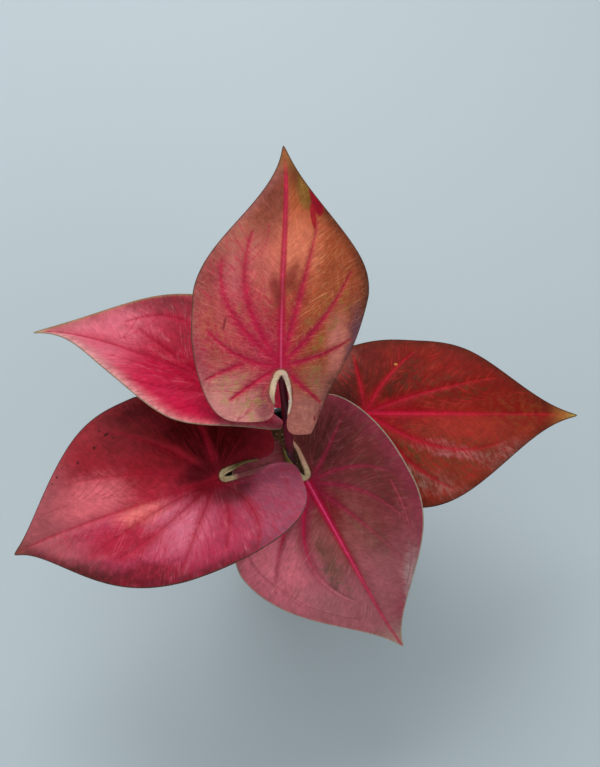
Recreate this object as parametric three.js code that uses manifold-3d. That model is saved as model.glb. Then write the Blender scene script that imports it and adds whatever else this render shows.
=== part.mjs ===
// Potted caladium: five heart-shaped leaves on long stalks, grown from a tuber in a pot of soil.
// Millimetres and degrees, +Z up. The origin is the middle of the pot's flat base, on the surface
// that it stands on. Leaves are named by where they lie, seen from above with +Y to the back.
import * as THREE from 'three';
import { mergeVertices } from 'three/addons/utils/BufferGeometryUtils.js';
import Module from 'manifold-3d';

const wasm = await Module();
wasm.setup();

// Driving dimensions
const clearance = 0.3; // between pieces that touch on the real plant

const pot = {
  height: 110, baseRadius: 45, shoulderRadius: 58.5, rimRadius: 62, lipRadius: 64,
  wall: 1.4, floor: 1.8, rimHeight: 16, lipHeight: 3, step: 2, cornerRise: 3, sides: 56,
  rimDraft: 0.5, // the rim band widens upwards by this
  lipUnder: 0.6, edgeRound: 0.8, // the slants under the lip and at its top edge
  innerStep: 0.8, innerCorner: 0.6, // how much higher the step and the corner lie inside
  drainHoles: 8, drainRadius: 4.2, drainTilt: 45, drainLength: 12, drainInset: 1.5, drainSides: 12,
};

const soil = {
  top: 98, mound: 2.5, sides: 44, rings: 4,
  wallGap: 0.4, rimGap: 1, rimDraft: 0.2, // to the pot's wall and to the inside of its rim
  footInset: 0.8, footTop: 5, edgeDrop: 1,
  lump: 0.7, lumpSpacing: 20, crumbSpacing: 8,
  holeReach: 0.4, holeRings: 6, // the part of a stalk's curve that its hole follows
};

const tuber = {
  radius: 18, squash: 0.72, middle: 58, sides: 20, rings: 12,
  budRadius: 4.6, budTop: 72, budSides: 12,
};

const stalk = { baseRadius: 3.5, topRadius: 2.4, sides: 10, rings: 15 };

// What all five blades share
const blade = {
  thickness: 0.7, midribDepth: 1.6, midribHalf: 1.8,
  notchBack: 5, // from the stalk to the bottom of the notch
  notchHalf: 1.5, // half width at the bottom of the notch
  notchWiden: 0.68, notchBlunt: 5,
  lipWidth: 5, lipTurn: 105, // the notch's edge curls up and back
  lipStart: 0.4, lipGrow: 16, // the part of that turn at the notch's bottom, and how far it grows along
  lipFade: 0.55, // the part of a lobe along which the curl grows from nothing
  lobeMiddle: 0.42, // where a lobe ends, across the half blade
  wave: 1.5, wavesAlong: 2, waveReach: 1.2,
  midribTaper: 0.7, hookPower: 6, tipBlunt: 0.6,
  lobeRows: 6, frontRows: 15, rowEase: 1.15, columns: 8, lipColumns: 3,
};

// Each blade: at is where its stalk meets it. azimuth is where its tip points, pitch how much it
// rises there, droop how far it has turned down at the tip, and lobeDroop the same for the lobes.
// sweep curves the midrib sideways, and hook only its end. widest is the widest place and shoulder
// and taper the outline from there to the tip. opening is what each side of the notch opens by,
// before the lobes close it again. Each half has its width, the length of its lobe and how blunt
// that is, the fold at the midrib, more fold in the lobe, and the bend out to the margin.
// stalkVia are the two control points of the stalk's curve, the second one from the blade.
const leaves = [
  {
    name: 'back', at: [-14.7, 22.9, 298], length: 139, azimuth: 90,
    pitch: 26.5, droop: 19, lobeDroop: -10, roll: 5.5, sweep: -9.5, hook: 6,
    widest: 0.33, shoulder: 0.94, taper: 0.17, opening: 2.2,
    left: { width: 56.5, lobe: 34, round: 2.6, fold: 3, lobeFold: 1, bend: -24, phase: 0.3 },
    right: { width: 66, lobe: 43.5, round: 1.3, fold: -1, lobeFold: -28.5, bend: -46, phase: 1.4 },
    stalkFoot: [-0.5, 8], stalkVia: [[-10.5, -4, 150], [6.5, -44, -58]],
  },
  {
    name: 'right', at: [43, 31.3, 184], length: 151.5, azimuth: -3,
    pitch: 7, droop: 16, lobeDroop: 5, roll: 1.5, sweep: 7.5, hook: -1,
    widest: 0.28, shoulder: 1.05, taper: 0.17, opening: 1.5,
    left: { width: 59, lobe: 42, round: 2.5, fold: 6.5, lobeFold: -2.5, bend: -25, phase: 0.9 },
    right: { width: 67.5, lobe: 32, round: 1.8, fold: 7, lobeFold: -10, bend: -21, phase: 2.2 },
    stalkFoot: [10, 2], stalkVia: [[16, 8, 128], [-2, -1, -45]],
  },
  {
    name: 'front', at: [2.4, -25.3, 206], length: 149, azimuth: -59.6,
    pitch: -18, droop: 35.5, lobeDroop: 5, roll: 5, sweep: 2.5, hook: 3,
    widest: 0.23, shoulder: 1.05, taper: 0.16, opening: 0.9,
    left: { width: 65, lobe: 49.5, round: 2.3, fold: 8, lobeFold: -2, bend: -13.5, phase: 1.8 },
    right: { width: 71, lobe: 42, round: 1.4, fold: 9, lobeFold: -20, bend: -21.5, phase: 0.2 },
    stalkFoot: [5.5, -8], stalkVia: [[4, -12, 135], [-2, 4, -55]],
  },
  {
    name: 'left_low', at: [-57.5, -29, 228], length: 160, azimuth: 198,
    pitch: -2.5, droop: 36, lobeDroop: 0, roll: -5, sweep: -6, hook: 3.5,
    widest: 0.24, shoulder: 1.26, taper: 0.22, opening: 0.7,
    left: { width: 59, lobe: 53, round: 2.5, fold: 16, lobeFold: 10, bend: -28, phase: 0.3 },
    right: { width: 73, lobe: 44, round: 1.3, fold: 13, lobeFold: -25, bend: -29.5, phase: 1.4 },
    stalkFoot: [-5.5, -8], stalkVia: [[-30, -22, 118], [-6, -6, -60]],
  },
  {
    name: 'left_high', at: [-52.4, 29.3, 236], length: 140.5, azimuth: 157,
    pitch: 13, droop: 29, lobeDroop: 3, roll: 8.5, sweep: -2, hook: 9,
    widest: 0.17, shoulder: 1.02, taper: 0.18, opening: 1.5,
    left: { width: 60, lobe: 42, round: 2.3, fold: 46, lobeFold: 15, bend: -19, phase: 2.5 },
    right: { width: 63.5, lobe: 41, round: 2, fold: 16, lobeFold: 0, bend: -28, phase: 0.7 },
    stalkFoot: [-10, 3], stalkVia: [[-34, 18, 122], [-7, 9, -70]],
  },
];

const radians = THREE.MathUtils.degToRad;
const clamp = THREE.MathUtils.clamp;
const smooth = (x) => THREE.MathUtils.smoothstep(x, 0, 1);
const tiny = 1e-7;

// Materials
const plain = (color, roughness) => new THREE.MeshStandardMaterial({ color, roughness, metalness: 0 });
const materials = {
  pot: plain(0x1c1d1f, 0.5),
  soil: plain(0x33261d, 0.95),
  tuber: plain(0x6b5038, 0.9),
  stalk: plain(0x4d1f21, 0.45),
  back: plain(0xa8503f, 0.4),
  right: plain(0x82291d, 0.4),
  front: plain(0x8d3a41, 0.4),
  left_low: plain(0xa83c48, 0.4),
  left_high: plain(0xb83455, 0.4),
};

// Where a path has got to after s: it starts at an angle and turns evenly.
function arc(angle, turn, s) {
  const k = Math.abs(turn) < tiny ? tiny : turn;
  const end = angle + k * s;
  return [(Math.sin(end) - Math.sin(angle)) / k, (Math.cos(angle) - Math.cos(end)) / k, end];
}

// A quarter of a superellipse, from 1 at x = 0 to 0 at x = 1.
function bluntArc(x, power) {
  return (1 - clamp(x, 0, 1) ** power) ** (1 / power);
}

// Distance from the midrib to the inner and the outer edge of a half blade, at u along the midrib.
function bladeEdges(leaf, half, u) {
  const widest = leaf.widest * leaf.length;
  const lobeEnd = blade.lobeMiddle * half.width;
  const notch = -blade.notchBack;
  let outer = lobeEnd + (half.width - lobeEnd) * bluntArc((widest - u) / (widest + half.lobe), half.round);
  if (u >= widest) {
    const q = clamp((u - widest) / (leaf.length - widest), 0, 1);
    const bell = 0.5 * (1 + Math.cos(Math.PI * q ** leaf.shoulder));
    outer = half.width * (bell * (1 - leaf.taper) + leaf.taper * (1 - q) ** blade.tipBlunt);
  }
  if (u >= notch) {
    return [0, outer];
  }
  const into = clamp((notch - u) / (2 * blade.notchHalf), 0, 1);
  const open = clamp((notch - blade.notchHalf - u) / (half.lobe + notch), 0, 1);
  const swell = Math.sin(Math.PI * open ** blade.notchWiden);
  const gap = blade.notchHalf * Math.sqrt(1 - (1 - into) ** 2) + leaf.opening * swell;
  const inner = lobeEnd - (lobeEnd - gap) * bluntArc((notch - u) / (half.lobe + notch), blade.notchBlunt);
  return [inner, Math.max(outer, inner)];
}

// The notch's edge curls up and back over the blade. Gives the curled u, v and height.
function curlLip(half, u, v, inner) {
  const bottom = -blade.notchBack - blade.notchHalf;
  const round = u > bottom;
  const along = round ? u - bottom : 0;
  const reach = round ? Math.hypot(along, v) : v;
  const fromEdge = round ? reach - blade.notchHalf : v - inner;
  const curled = blade.lipWidth - fromEdge;
  const grown = THREE.MathUtils.lerp(blade.lipStart, 1, smooth((bottom - u) / blade.lipGrow));
  const turn = radians(blade.lipTurn) * grown * smooth((u + half.lobe) / (blade.lipFade * half.lobe));
  if (curled <= 0 || turn < tiny) {
    return [u, v, 0];
  }
  const radius = blade.lipWidth / turn;
  const moved = reach + curled - radius * Math.sin(curled / radius);
  const height = radius * (1 - Math.cos(curled / radius));
  if (!round) {
    return [u, moved, height];
  }
  const scale = moved / Math.max(reach, tiny);
  return [bottom + along * scale, v * scale, height];
}

// A point of a blade's upper face: u along the midrib, v out from it. side is 1 left and -1 right.
function bladePoint(leaf, side, u, v) {
  const half = side > 0 ? leaf.left : leaf.right;
  const [cu, cv, lip] = curlLip(half, u, v, bladeEdges(leaf, half, u)[0]);
  const widest = leaf.widest * leaf.length;
  const waving = Math.sin((2 * Math.PI * blade.wavesAlong * cu) / leaf.length + half.phase);
  const height = lip + blade.wave * waving * clamp(cv / half.width, 0, blade.waveReach) ** 2;
  const lobeward = smooth((widest - cu) / (widest + half.lobe));
  const fold = radians(half.fold + half.lobeFold * lobeward);
  const [out, rise, slope] = arc(fold, radians(half.bend) / half.width, cv);
  const part = cu / leaf.length;
  const hooked = leaf.hook * clamp(part, 0, 1) ** blade.hookPower;
  const bow = leaf.sweep * Math.sign(cu) * part ** 2 + hooked;
  const y = side * (out - Math.sin(slope) * height) + bow;
  const z = rise + Math.cos(slope) * height;
  const turn = -radians(cu > 0 ? leaf.droop : leaf.lobeDroop) / leaf.length;
  const [forward, up, tilt] = arc(radians(leaf.pitch), turn, cu);
  const point = new THREE.Vector3(forward - Math.sin(tilt) * z, y, up + Math.cos(tilt) * z);
  const pitch = radians(leaf.pitch);
  point.applyAxisAngle(new THREE.Vector3(Math.cos(pitch), 0, Math.sin(pitch)), radians(leaf.roll));
  point.applyAxisAngle(new THREE.Vector3(0, 0, 1), radians(leaf.azimuth));
  return point.add(new THREE.Vector3(...leaf.at));
}

// The blade's thickness, with the midrib standing out below.
function bladeThickness(leaf, u, v) {
  const towardsTip = clamp(1 - u / leaf.length, 0, 1) ** blade.midribTaper;
  const towardsNotch = clamp(1 + u / (2 * blade.notchBack), 0, 1);
  const along = u > 0 ? towardsTip : towardsNotch;
  return blade.thickness + blade.midribDepth * along * Math.exp(-((v / blade.midribHalf) ** 2));
}

// Which way the upper face looks, on one half blade.
function bladeNormal(leaf, side, u, v) {
  const step = 0.05;
  const along = bladePoint(leaf, side, u + step, v).sub(bladePoint(leaf, side, u - step, v));
  const across = bladePoint(leaf, side, u, v + 2 * step).sub(bladePoint(leaf, side, u, v));
  return along.cross(across).multiplyScalar(side).normalize();
}

// The matching point of the lower face, or one further down by an extra distance. By the midrib it
// lies below both halves alike.
function underPoint(leaf, side, u, v, extra = 0) {
  const normal = bladeNormal(leaf, side, u, v);
  const nearRib = Math.exp(-((v / blade.midribHalf) ** 2));
  if (nearRib > tiny) {
    const rib = bladeNormal(leaf, 1, u, 0).add(bladeNormal(leaf, -1, u, 0)).normalize();
    normal.lerp(rib, nearRib).normalize();
  }
  return bladePoint(leaf, side, u, v).addScaledVector(normal, -bladeThickness(leaf, u, v) - extra);
}

// Places along a half blade, from the lobe's end to the tip, closer where the outline turns fast.
function bladeRows(leaf, half) {
  const notch = -blade.notchBack;
  const lobeSpan = half.lobe + notch - 2 * blade.notchHalf;
  const rows = [];
  for (let i = 0; i <= blade.lobeRows; i++) {
    rows.push(-half.lobe + lobeSpan * (1 - Math.cos((0.5 * Math.PI * i) / blade.lobeRows)));
  }
  rows.push(notch - blade.notchHalf / 2, notch, notch / 2, 0);
  for (let i = 1; i <= blade.frontRows; i++) {
    rows.push(leaf.length * Math.sin((0.5 * Math.PI * i) / blade.frontRows) ** blade.rowEase);
  }
  return rows;
}

function bladeGeometry(leaf) {
  const positions = [];
  const known = new Map();
  const upper = [];

  // Number of a vertex pair, upper then lower. Halves share the midrib, and rows end in one point.
  function vertex(side, u, v, inner, outer) {
    const shared = v === 0 || outer - inner < tiny;
    const key = `${shared && inner === 0 ? 0 : side} ${u.toFixed(5)} ${shared ? 'end' : v.toFixed(5)}`;
    if (!known.has(key)) {
      known.set(key, positions.length / 3);
      positions.push(...bladePoint(leaf, side, u, v).toArray());
      positions.push(...underPoint(leaf, side, u, v).toArray());
    }
    return known.get(key);
  }

  for (const side of [1, -1]) {
    const half = side > 0 ? leaf.left : leaf.right;
    const grid = bladeRows(leaf, half).map((u) => {
      const [inner, outer] = bladeEdges(leaf, half, u);
      const width = outer - inner;
      const lip = Math.min(blade.lipWidth, (width * blade.lipColumns) / blade.columns);
      const row = [];
      for (let j = 0; j <= blade.columns; j++) {
        const beyond = (j - blade.lipColumns) / (blade.columns - blade.lipColumns);
        const offset = beyond < 0 ? (lip * j) / blade.lipColumns : lip + (width - lip) * beyond;
        row.push(vertex(side, u, inner + offset, inner, outer));
      }
      return row;
    });
    for (let i = 1; i < grid.length; i++) {
      for (let j = 1; j <= blade.columns; j++) {
        const [a, b, c, d] = [grid[i - 1][j - 1], grid[i][j - 1], grid[i][j], grid[i - 1][j]];
        for (const corners of [[a, b, c], [a, c, d]]) {
          if (new Set(corners).size === 3) {
            upper.push(side > 0 ? corners : corners.reverse());
          }
        }
      }
    }
  }

  // Upper face, the same triangles below, and a wall along each open edge
  const index = [];
  const open = new Map();
  for (const [a, b, c] of upper) {
    index.push(a, b, c, a + 1, c + 1, b + 1);
    for (const [p, q] of [[a, b], [b, c], [c, a]]) {
      if (!open.delete(`${q} ${p}`)) {
        open.set(`${p} ${q}`, [p, q]);
      }
    }
  }
  for (const [p, q] of open.values()) {
    index.push(q, p, p + 1, q, p + 1, q + 1);
  }
  const geometry = new THREE.BufferGeometry();
  geometry.setAttribute('position', new THREE.Float32BufferAttribute(positions, 3));
  geometry.setIndex(index);
  return geometry;
}

// Centre line of a stalk, from its bud on the tuber to the blade's midrib.
function stalkCurve(leaf) {
  const [low, high] = leaf.stalkVia;
  const top = new THREE.Vector3(...leaf.at);
  const foot = new THREE.Vector3(...leaf.stalkFoot, tuber.budTop + clearance);
  const nearFoot = new THREE.Vector3(...low);
  const nearTop = new THREE.Vector3(...high).add(top);
  return new THREE.CubicBezierCurve3(foot, nearFoot, nearTop, top);
}

// A tapered round tube along a curve, with extra added to its radius. The first ring is level, and
// the last one follows the underside of the blade when seated.
function tubeGeometry(leaf, rings, end, extra, seated) {
  const curve = stalkCurve(leaf);
  const azimuth = radians(leaf.azimuth);
  const ahead = new THREE.Vector3(Math.cos(azimuth), Math.sin(azimuth), 0);
  const positions = [];
  for (let i = 0; i <= rings; i++) {
    const t = (end * i) / rings;
    const centre = curve.getPoint(t);
    const tangent = i === 0 ? new THREE.Vector3(0, 0, 1) : curve.getTangent(t);
    const across = new THREE.Vector3().crossVectors(tangent, ahead).normalize();
    const along = new THREE.Vector3().crossVectors(across, tangent);
    const radius = THREE.MathUtils.lerp(stalk.baseRadius, stalk.topRadius, t) + extra;
    for (let k = 0; k < stalk.sides; k++) {
      const angle = (2 * Math.PI * k) / stalk.sides;
      const u = radius * Math.cos(angle);
      const v = radius * Math.sin(angle);
      const onBlade = seated && i === rings;
      const point = onBlade
        ? underPoint(leaf, v < 0 ? -1 : 1, u, Math.abs(v), clearance)
        : centre.clone().addScaledVector(along, u).addScaledVector(across, v);
      positions.push(...point.toArray());
    }
  }
  const foot = curve.getPoint(0);
  const top = seated ? underPoint(leaf, 1, 0, 0, clearance) : curve.getPoint(end);
  positions.push(...foot.toArray(), ...top.toArray());

  const index = [];
  const footCentre = (rings + 1) * stalk.sides;
  for (let k = 0; k < stalk.sides; k++) {
    const next = (k + 1) % stalk.sides;
    index.push(footCentre, next, k);
    for (let i = 0; i < rings; i++) {
      const low = i * stalk.sides;
      const high = low + stalk.sides;
      index.push(low + k, low + next, high + next, low + k, high + next, high + k);
    }
    const last = rings * stalk.sides;
    index.push(footCentre + 1, last + k, last + next);
  }
  const geometry = new THREE.BufferGeometry();
  geometry.setAttribute('position', new THREE.Float32BufferAttribute(positions, 3));
  geometry.setIndex(index);
  return geometry;
}

// Booleans: a closed geometry as a solid, and a solid back as a geometry.
function solid(geometry) {
  const bare = geometry.clone();
  bare.deleteAttribute('normal');
  bare.deleteAttribute('uv');
  const merged = mergeVertices(bare);
  const vertProperties = new Float32Array(merged.attributes.position.array);
  const triVerts = new Uint32Array(merged.index.array);
  return new wasm.Manifold(new wasm.Mesh({ numProp: 3, vertProperties, triVerts }));
}

function geometryOf(manifold) {
  const mesh = manifold.getMesh();
  const geometry = new THREE.BufferGeometry();
  geometry.setAttribute('position', new THREE.BufferAttribute(mesh.vertProperties, 3));
  geometry.setIndex(new THREE.BufferAttribute(mesh.triVerts, 1));
  return geometry;
}

// A profile of [radius, height] pairs turned about Z.
function turned(profile, sides) {
  const points = profile.map(([radius, height]) => new THREE.Vector2(radius, height));
  return new THREE.LatheGeometry(points, sides).rotateX(Math.PI / 2);
}

// An upright cylinder from one height to another.
function post(radius, low, high, x, y, sides) {
  const geometry = new THREE.CylinderGeometry(radius, radius, high - low, sides).rotateX(Math.PI / 2);
  return geometry.translate(x, y, (low + high) / 2);
}

// A thin moulded pot: flat base, sloping wall, a wider rim band and a lip round its mouth.
function potGeometry() {
  const rimBottom = pot.height - pot.rimHeight;
  const lipBottom = pot.height - pot.lipHeight;
  const stepBottom = rimBottom - pot.step;
  const rimFoot = pot.rimRadius - pot.rimDraft;
  const flatRadius = pot.baseRadius - pot.cornerRise;
  const profile = [
    [0, 0],
    [flatRadius, 0],
    [pot.baseRadius, pot.cornerRise],
    [pot.shoulderRadius, stepBottom],
    [rimFoot, rimBottom],
    [pot.rimRadius, lipBottom],
    [pot.lipRadius, lipBottom + pot.lipUnder],
    [pot.lipRadius, pot.height - pot.edgeRound],
    [pot.lipRadius - pot.edgeRound, pot.height],
    [pot.rimRadius - pot.wall, pot.height],
    [rimFoot - pot.wall, rimBottom + pot.innerStep],
    [pot.shoulderRadius - pot.wall, stepBottom + pot.innerStep],
    [pot.baseRadius - pot.wall, pot.cornerRise + pot.innerCorner],
    [flatRadius, pot.floor],
    [0, pot.floor],
  ];
  let body = solid(turned(profile, pot.sides));
  for (let i = 0; i < pot.drainHoles; i++) {
    const hole = post(pot.drainRadius, -pot.drainLength / 2, pot.drainLength / 2, 0, 0, pot.drainSides);
    hole.rotateY(radians(180 - pot.drainTilt));
    hole.translate(pot.baseRadius - pot.drainInset, 0, pot.drainInset);
    hole.rotateZ((2 * Math.PI * (i + 0.5)) / pot.drainHoles);
    body = body.subtract(solid(hole));
  }
  return geometryOf(body);
}

// A flattened tuber with a flat-topped bud under each stalk.
function tuberSolid(extra) {
  const shape = new THREE.SphereGeometry(tuber.radius + extra, tuber.sides, tuber.rings);
  shape.rotateX(Math.PI / 2).scale(1, 1, tuber.squash).translate(0, 0, tuber.middle);
  let body = solid(shape);
  for (const leaf of leaves) {
    const [x, y] = leaf.stalkFoot;
    const top = tuber.budTop + extra;
    body = body.add(solid(post(tuber.budRadius + extra, tuber.middle, top, x, y, tuber.budSides)));
  }
  return body;
}

// Height of the soil's lumps and crumbs. It is nothing on the axis.
function lumpHeight(x, y) {
  const [lumpX, lumpY] = [(2 * Math.PI * x) / soil.lumpSpacing, (2 * Math.PI * y) / soil.lumpSpacing];
  const crumb = Math.sin((2 * Math.PI * (x - y)) / soil.crumbSpacing);
  return soil.lump * (Math.sin(lumpX) * Math.cos(lumpY) + crumb);
}

// Potting soil: it fills the pot, mounds up a little, and has a plain hole round each stalk.
function soilGeometry() {
  const rimBottom = pot.height - pot.rimHeight;
  const stepBottom = rimBottom - pot.step;
  const slope = (pot.shoulderRadius - pot.baseRadius) / (stepBottom - pot.cornerRise);
  const foot = pot.baseRadius - pot.wall - soil.wallGap;
  const inside = (z) => foot + slope * (z - pot.cornerRise - pot.innerCorner);
  const floor = pot.floor + clearance;
  const edge = pot.rimRadius - pot.wall - soil.rimGap;
  const profile = [
    [0, floor],
    [pot.baseRadius - pot.cornerRise - soil.footInset, floor],
    [inside(soil.footTop), soil.footTop],
    [inside(stepBottom - soil.edgeDrop), stepBottom - soil.edgeDrop],
    [inside(stepBottom), stepBottom + pot.innerStep],
    [edge - soil.rimDraft, rimBottom + 2 * pot.innerStep],
    [edge, soil.top - soil.edgeDrop],
  ];
  for (let i = soil.rings; i >= 0; i--) {
    const part = i / (soil.rings + 1);
    profile.push([edge * part, soil.top + soil.mound * (1 - part ** 2)]);
  }
  const geometry = turned(profile, soil.sides);
  const position = geometry.attributes.position;
  for (let i = 0; i < position.count; i++) {
    const [x, y, z] = [position.getX(i), position.getY(i), position.getZ(i)];
    if (z > soil.top) {
      position.setZ(i, z + lumpHeight(x, y));
    }
  }
  let body = solid(geometry).subtract(tuberSolid(clearance));
  for (const leaf of leaves) {
    const hole = tubeGeometry(leaf, soil.holeRings, soil.holeReach, clearance, false);
    body = body.subtract(solid(hole));
  }
  return geometryOf(body);
}

function named(name, geometry, material) {
  const mesh = new THREE.Mesh(geometry, material);
  mesh.name = name;
  return mesh;
}

const plant = new THREE.Group();
plant.add(named('pot', potGeometry(), materials.pot));
plant.add(named('soil', soilGeometry(), materials.soil));
plant.add(named('tuber', geometryOf(tuberSolid(0)), materials.tuber));
for (const leaf of leaves) {
  plant.add(named(`stalk_${leaf.name}`, tubeGeometry(leaf, stalk.rings, 1, 0, true), materials.stalk));
  plant.add(named(`blade_${leaf.name}`, bladeGeometry(leaf), materials[leaf.name]));
}

export default plant;
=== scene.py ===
# Potted caladium: fine leaves, stalks, soil and pot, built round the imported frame. Metres, +Z up.
import math
import random

import bmesh
import bpy
import numpy as np
from mathutils import Euler, Matrix, Vector, noise
from mathutils.bvhtree import BVHTree


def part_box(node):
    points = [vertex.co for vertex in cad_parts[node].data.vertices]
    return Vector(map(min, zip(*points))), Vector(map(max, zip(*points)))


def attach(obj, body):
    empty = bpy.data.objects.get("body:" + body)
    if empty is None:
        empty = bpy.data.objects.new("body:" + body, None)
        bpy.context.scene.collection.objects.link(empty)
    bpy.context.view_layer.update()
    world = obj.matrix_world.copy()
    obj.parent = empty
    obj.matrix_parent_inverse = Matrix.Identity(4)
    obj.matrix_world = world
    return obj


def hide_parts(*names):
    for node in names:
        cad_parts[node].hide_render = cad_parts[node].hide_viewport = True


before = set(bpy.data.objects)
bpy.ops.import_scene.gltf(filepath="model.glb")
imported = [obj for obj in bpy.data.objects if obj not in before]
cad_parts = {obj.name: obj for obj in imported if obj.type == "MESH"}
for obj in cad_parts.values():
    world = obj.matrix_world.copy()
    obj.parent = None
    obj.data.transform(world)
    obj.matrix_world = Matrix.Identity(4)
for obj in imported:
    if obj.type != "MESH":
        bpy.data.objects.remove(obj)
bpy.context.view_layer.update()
mm = 0.001
samePoint = 0.001 * mm  # points closer than this are welded
tiny = 1e-7
smoothly = {"interpolation_type": "SMOOTHSTEP"}  # for a Map Range node
mixColours = {"data_type": "RGBA"}  # for a Mix node
multiplyAdd = {"operation": "MULTIPLY_ADD"}  # for a Math or Vector Math node


def srgb(colour):  # sRGB hex to a linear colour
    parts = [int(colour[i:i + 2], 16) / 255 for i in (1, 3, 5)]
    return [p / 12.92 if p <= 0.04045 else ((p + 0.055) / 1.055) ** 2.4 for p in parts] + [1.0]


def addNode(tree, kind, inputs=None, settings=None):  # an input is a value, a socket or a node
    node = tree.nodes.new("ShaderNode" + kind)
    for key, value in (settings or {}).items():
        setattr(node, key, value)
    for key, value in (inputs or {}).items():
        if isinstance(value, bpy.types.Node):
            value = value.outputs[0]
        if isinstance(value, bpy.types.NodeSocket):
            tree.links.new(value, node.inputs[key])
        else:
            node.inputs[key].default_value = value
    return node


def newMaterial(name):
    material = bpy.data.materials.new(name)
    material.use_nodes = True
    material.node_tree.nodes.clear()
    return material, material.node_tree


def finishMaterial(tree, inputs):
    shader = addNode(tree, "BsdfPrincipled", inputs)
    addNode(tree, "OutputMaterial", {"Surface": shader})


def newObject(name, data):
    made = bpy.data.objects.new(name, data)
    bpy.context.scene.collection.objects.link(made)
    return made


def meshFrom(bm, name):
    mesh = bpy.data.meshes.new(name)
    bm.to_mesh(mesh)
    bm.free()
    return mesh


def newPiece(name, mesh, materials, node=None):
    piece = newObject(name, mesh)
    for material in materials:
        mesh.materials.append(material)
    mesh.shade_smooth()
    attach(piece, "root")
    if node:
        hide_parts(node)
    return piece


def smooth(x):
    x = np.clip(x, 0, 1)
    return x * x * (3 - 2 * x)


# Camera, at the angle that the leaves were seen from
view = {
    "target": (-0.003, 0.035, 0.235), "elevation": 70, "distance": 0.8, "sensor": 36,
    "focal": 1194, "longSide": 767,  # in the photograph's pixels
}


def makeCamera():
    lens = bpy.data.cameras.new("camera")
    camera = newObject("camera", lens)
    tilt = math.radians(view["elevation"])
    back = Vector((0, -math.cos(tilt), math.sin(tilt)))
    camera.location = Vector(view["target"]) + back * view["distance"]
    camera.rotation_euler = Euler((math.pi / 2 - tilt, 0, 0))
    lens.sensor_width = view["sensor"]
    lens.lens = view["sensor"] * view["focal"] / view["longSide"]
    bpy.context.scene.camera = camera


# A pale floor and soft light, mostly from above and behind the plant
stage = {
    "floorColour": "#adb8bd", "floorRoughness": 0.8, "floorSize": 6,
    "sky": "#dfe6ea", "skyStrength": 0.62,
    "lights": [  # name, place, size, watts
        ("key", (-0.25, 0.95, 1.35), 0.9, 17),
        ("fill", (0.9, -0.9, 1.1), 1.2, 6),
        ("side", (-1.3, -0.3, 0.8), 1.0, 4),
    ],
}


def makeStage():
    bm = bmesh.new()
    bmesh.ops.create_grid(bm, x_segments=1, y_segments=1, size=stage["floorSize"] / 2)
    floor = newObject("floor", meshFrom(bm, "floor"))
    material, tree = newMaterial("Painted floor")
    finishMaterial(tree, {"Base Color": srgb(stage["floorColour"]), "Roughness": stage["floorRoughness"]})
    floor.data.materials.append(material)

    world = bpy.data.worlds.new("studio")
    world.use_nodes = True
    sky = world.node_tree.nodes["Background"]
    sky.inputs["Color"].default_value = srgb(stage["sky"])
    sky.inputs["Strength"].default_value = stage["skyStrength"]
    bpy.context.scene.world = world
    for name, place, size, watts in stage["lights"]:
        lamp = bpy.data.lights.new(name, "AREA")
        lamp.size = size
        lamp.energy = watts
        light = newObject(name, lamp)
        light.location = place
        light.rotation_mode = "QUATERNION"
        light.rotation_quaternion = (Vector(view["target"]) - light.location).to_track_quat("-Z", "Y")
    bpy.context.scene.view_settings.view_transform = "Standard"


makeCamera()
makeStage()
print("stage ready")

# What all five blades share, in millimetres and degrees, as the solids have it
blade = {
    "thickness": 0.5, "midribDepth": 1.6, "midribHalf": 1.8, "midribTaper": 0.7, "lipThickness": 1.3,
    "notchBack": 5, "notchHalf": 1.5, "notchWiden": 0.68, "notchBlunt": 5, "tipBlunt": 0.6,
    "lipWidth": 5, "lipTurn": 105, "lipStart": 0.4, "lipGrow": 16, "lipFade": 0.55, "lobeMiddle": 0.42,
    "wave": 1.5, "wavesAlong": 2, "waveReach": 1.2, "hookPower": 6,
    "lobeRows": 62, "notchRows": 12, "frontRows": 150, "frontEven": 0.35, "columns": 80, "columnEase": 1.25,
    "veinPoints": 22, "veinTaper": 0.8, "veinGroove": 0.4, "grooveHalf": 1.2,
    "pillow": 0.55, "pillowReach": 8, "pillowMargin": 6, "lipEase": 2, "marginEase": 3,
}

# What the colours follow: the most that a gap to a line counts, the pale lip, the band of painted shade
# beside it
# # and how the lip ends, the half width of the midrib's own colour, and the point that streaks fan out from
follow = {
    "farthest": 20.0, "lipWide": 3.7, "lipSoft": 1.2, "lipShadeWidth": 2, "lipEnd": 9, "lipAhead": 2,
    "ribHalf": 1.1, "ribTaper": 0.6, "fanBehind": 10, "fanBeside": 70, "fanTurn": 90,
}

# Finer veins leave each vein on both sides and run until they meet another or come near the margin
branch = {
    "first": 6, "last": 2, "spacing": 7.5, "ribSpacing": 8.5, "ribPoints": 60, "ahead": 0.5, "turn": 52,
    "step": 1.3, "bend": 1.7, "fewest": 4, "most": 30, "half": 0.42, "endHalf": 0.16, "meet": 0.7,
    "marginGap": 3.2,
}

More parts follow.
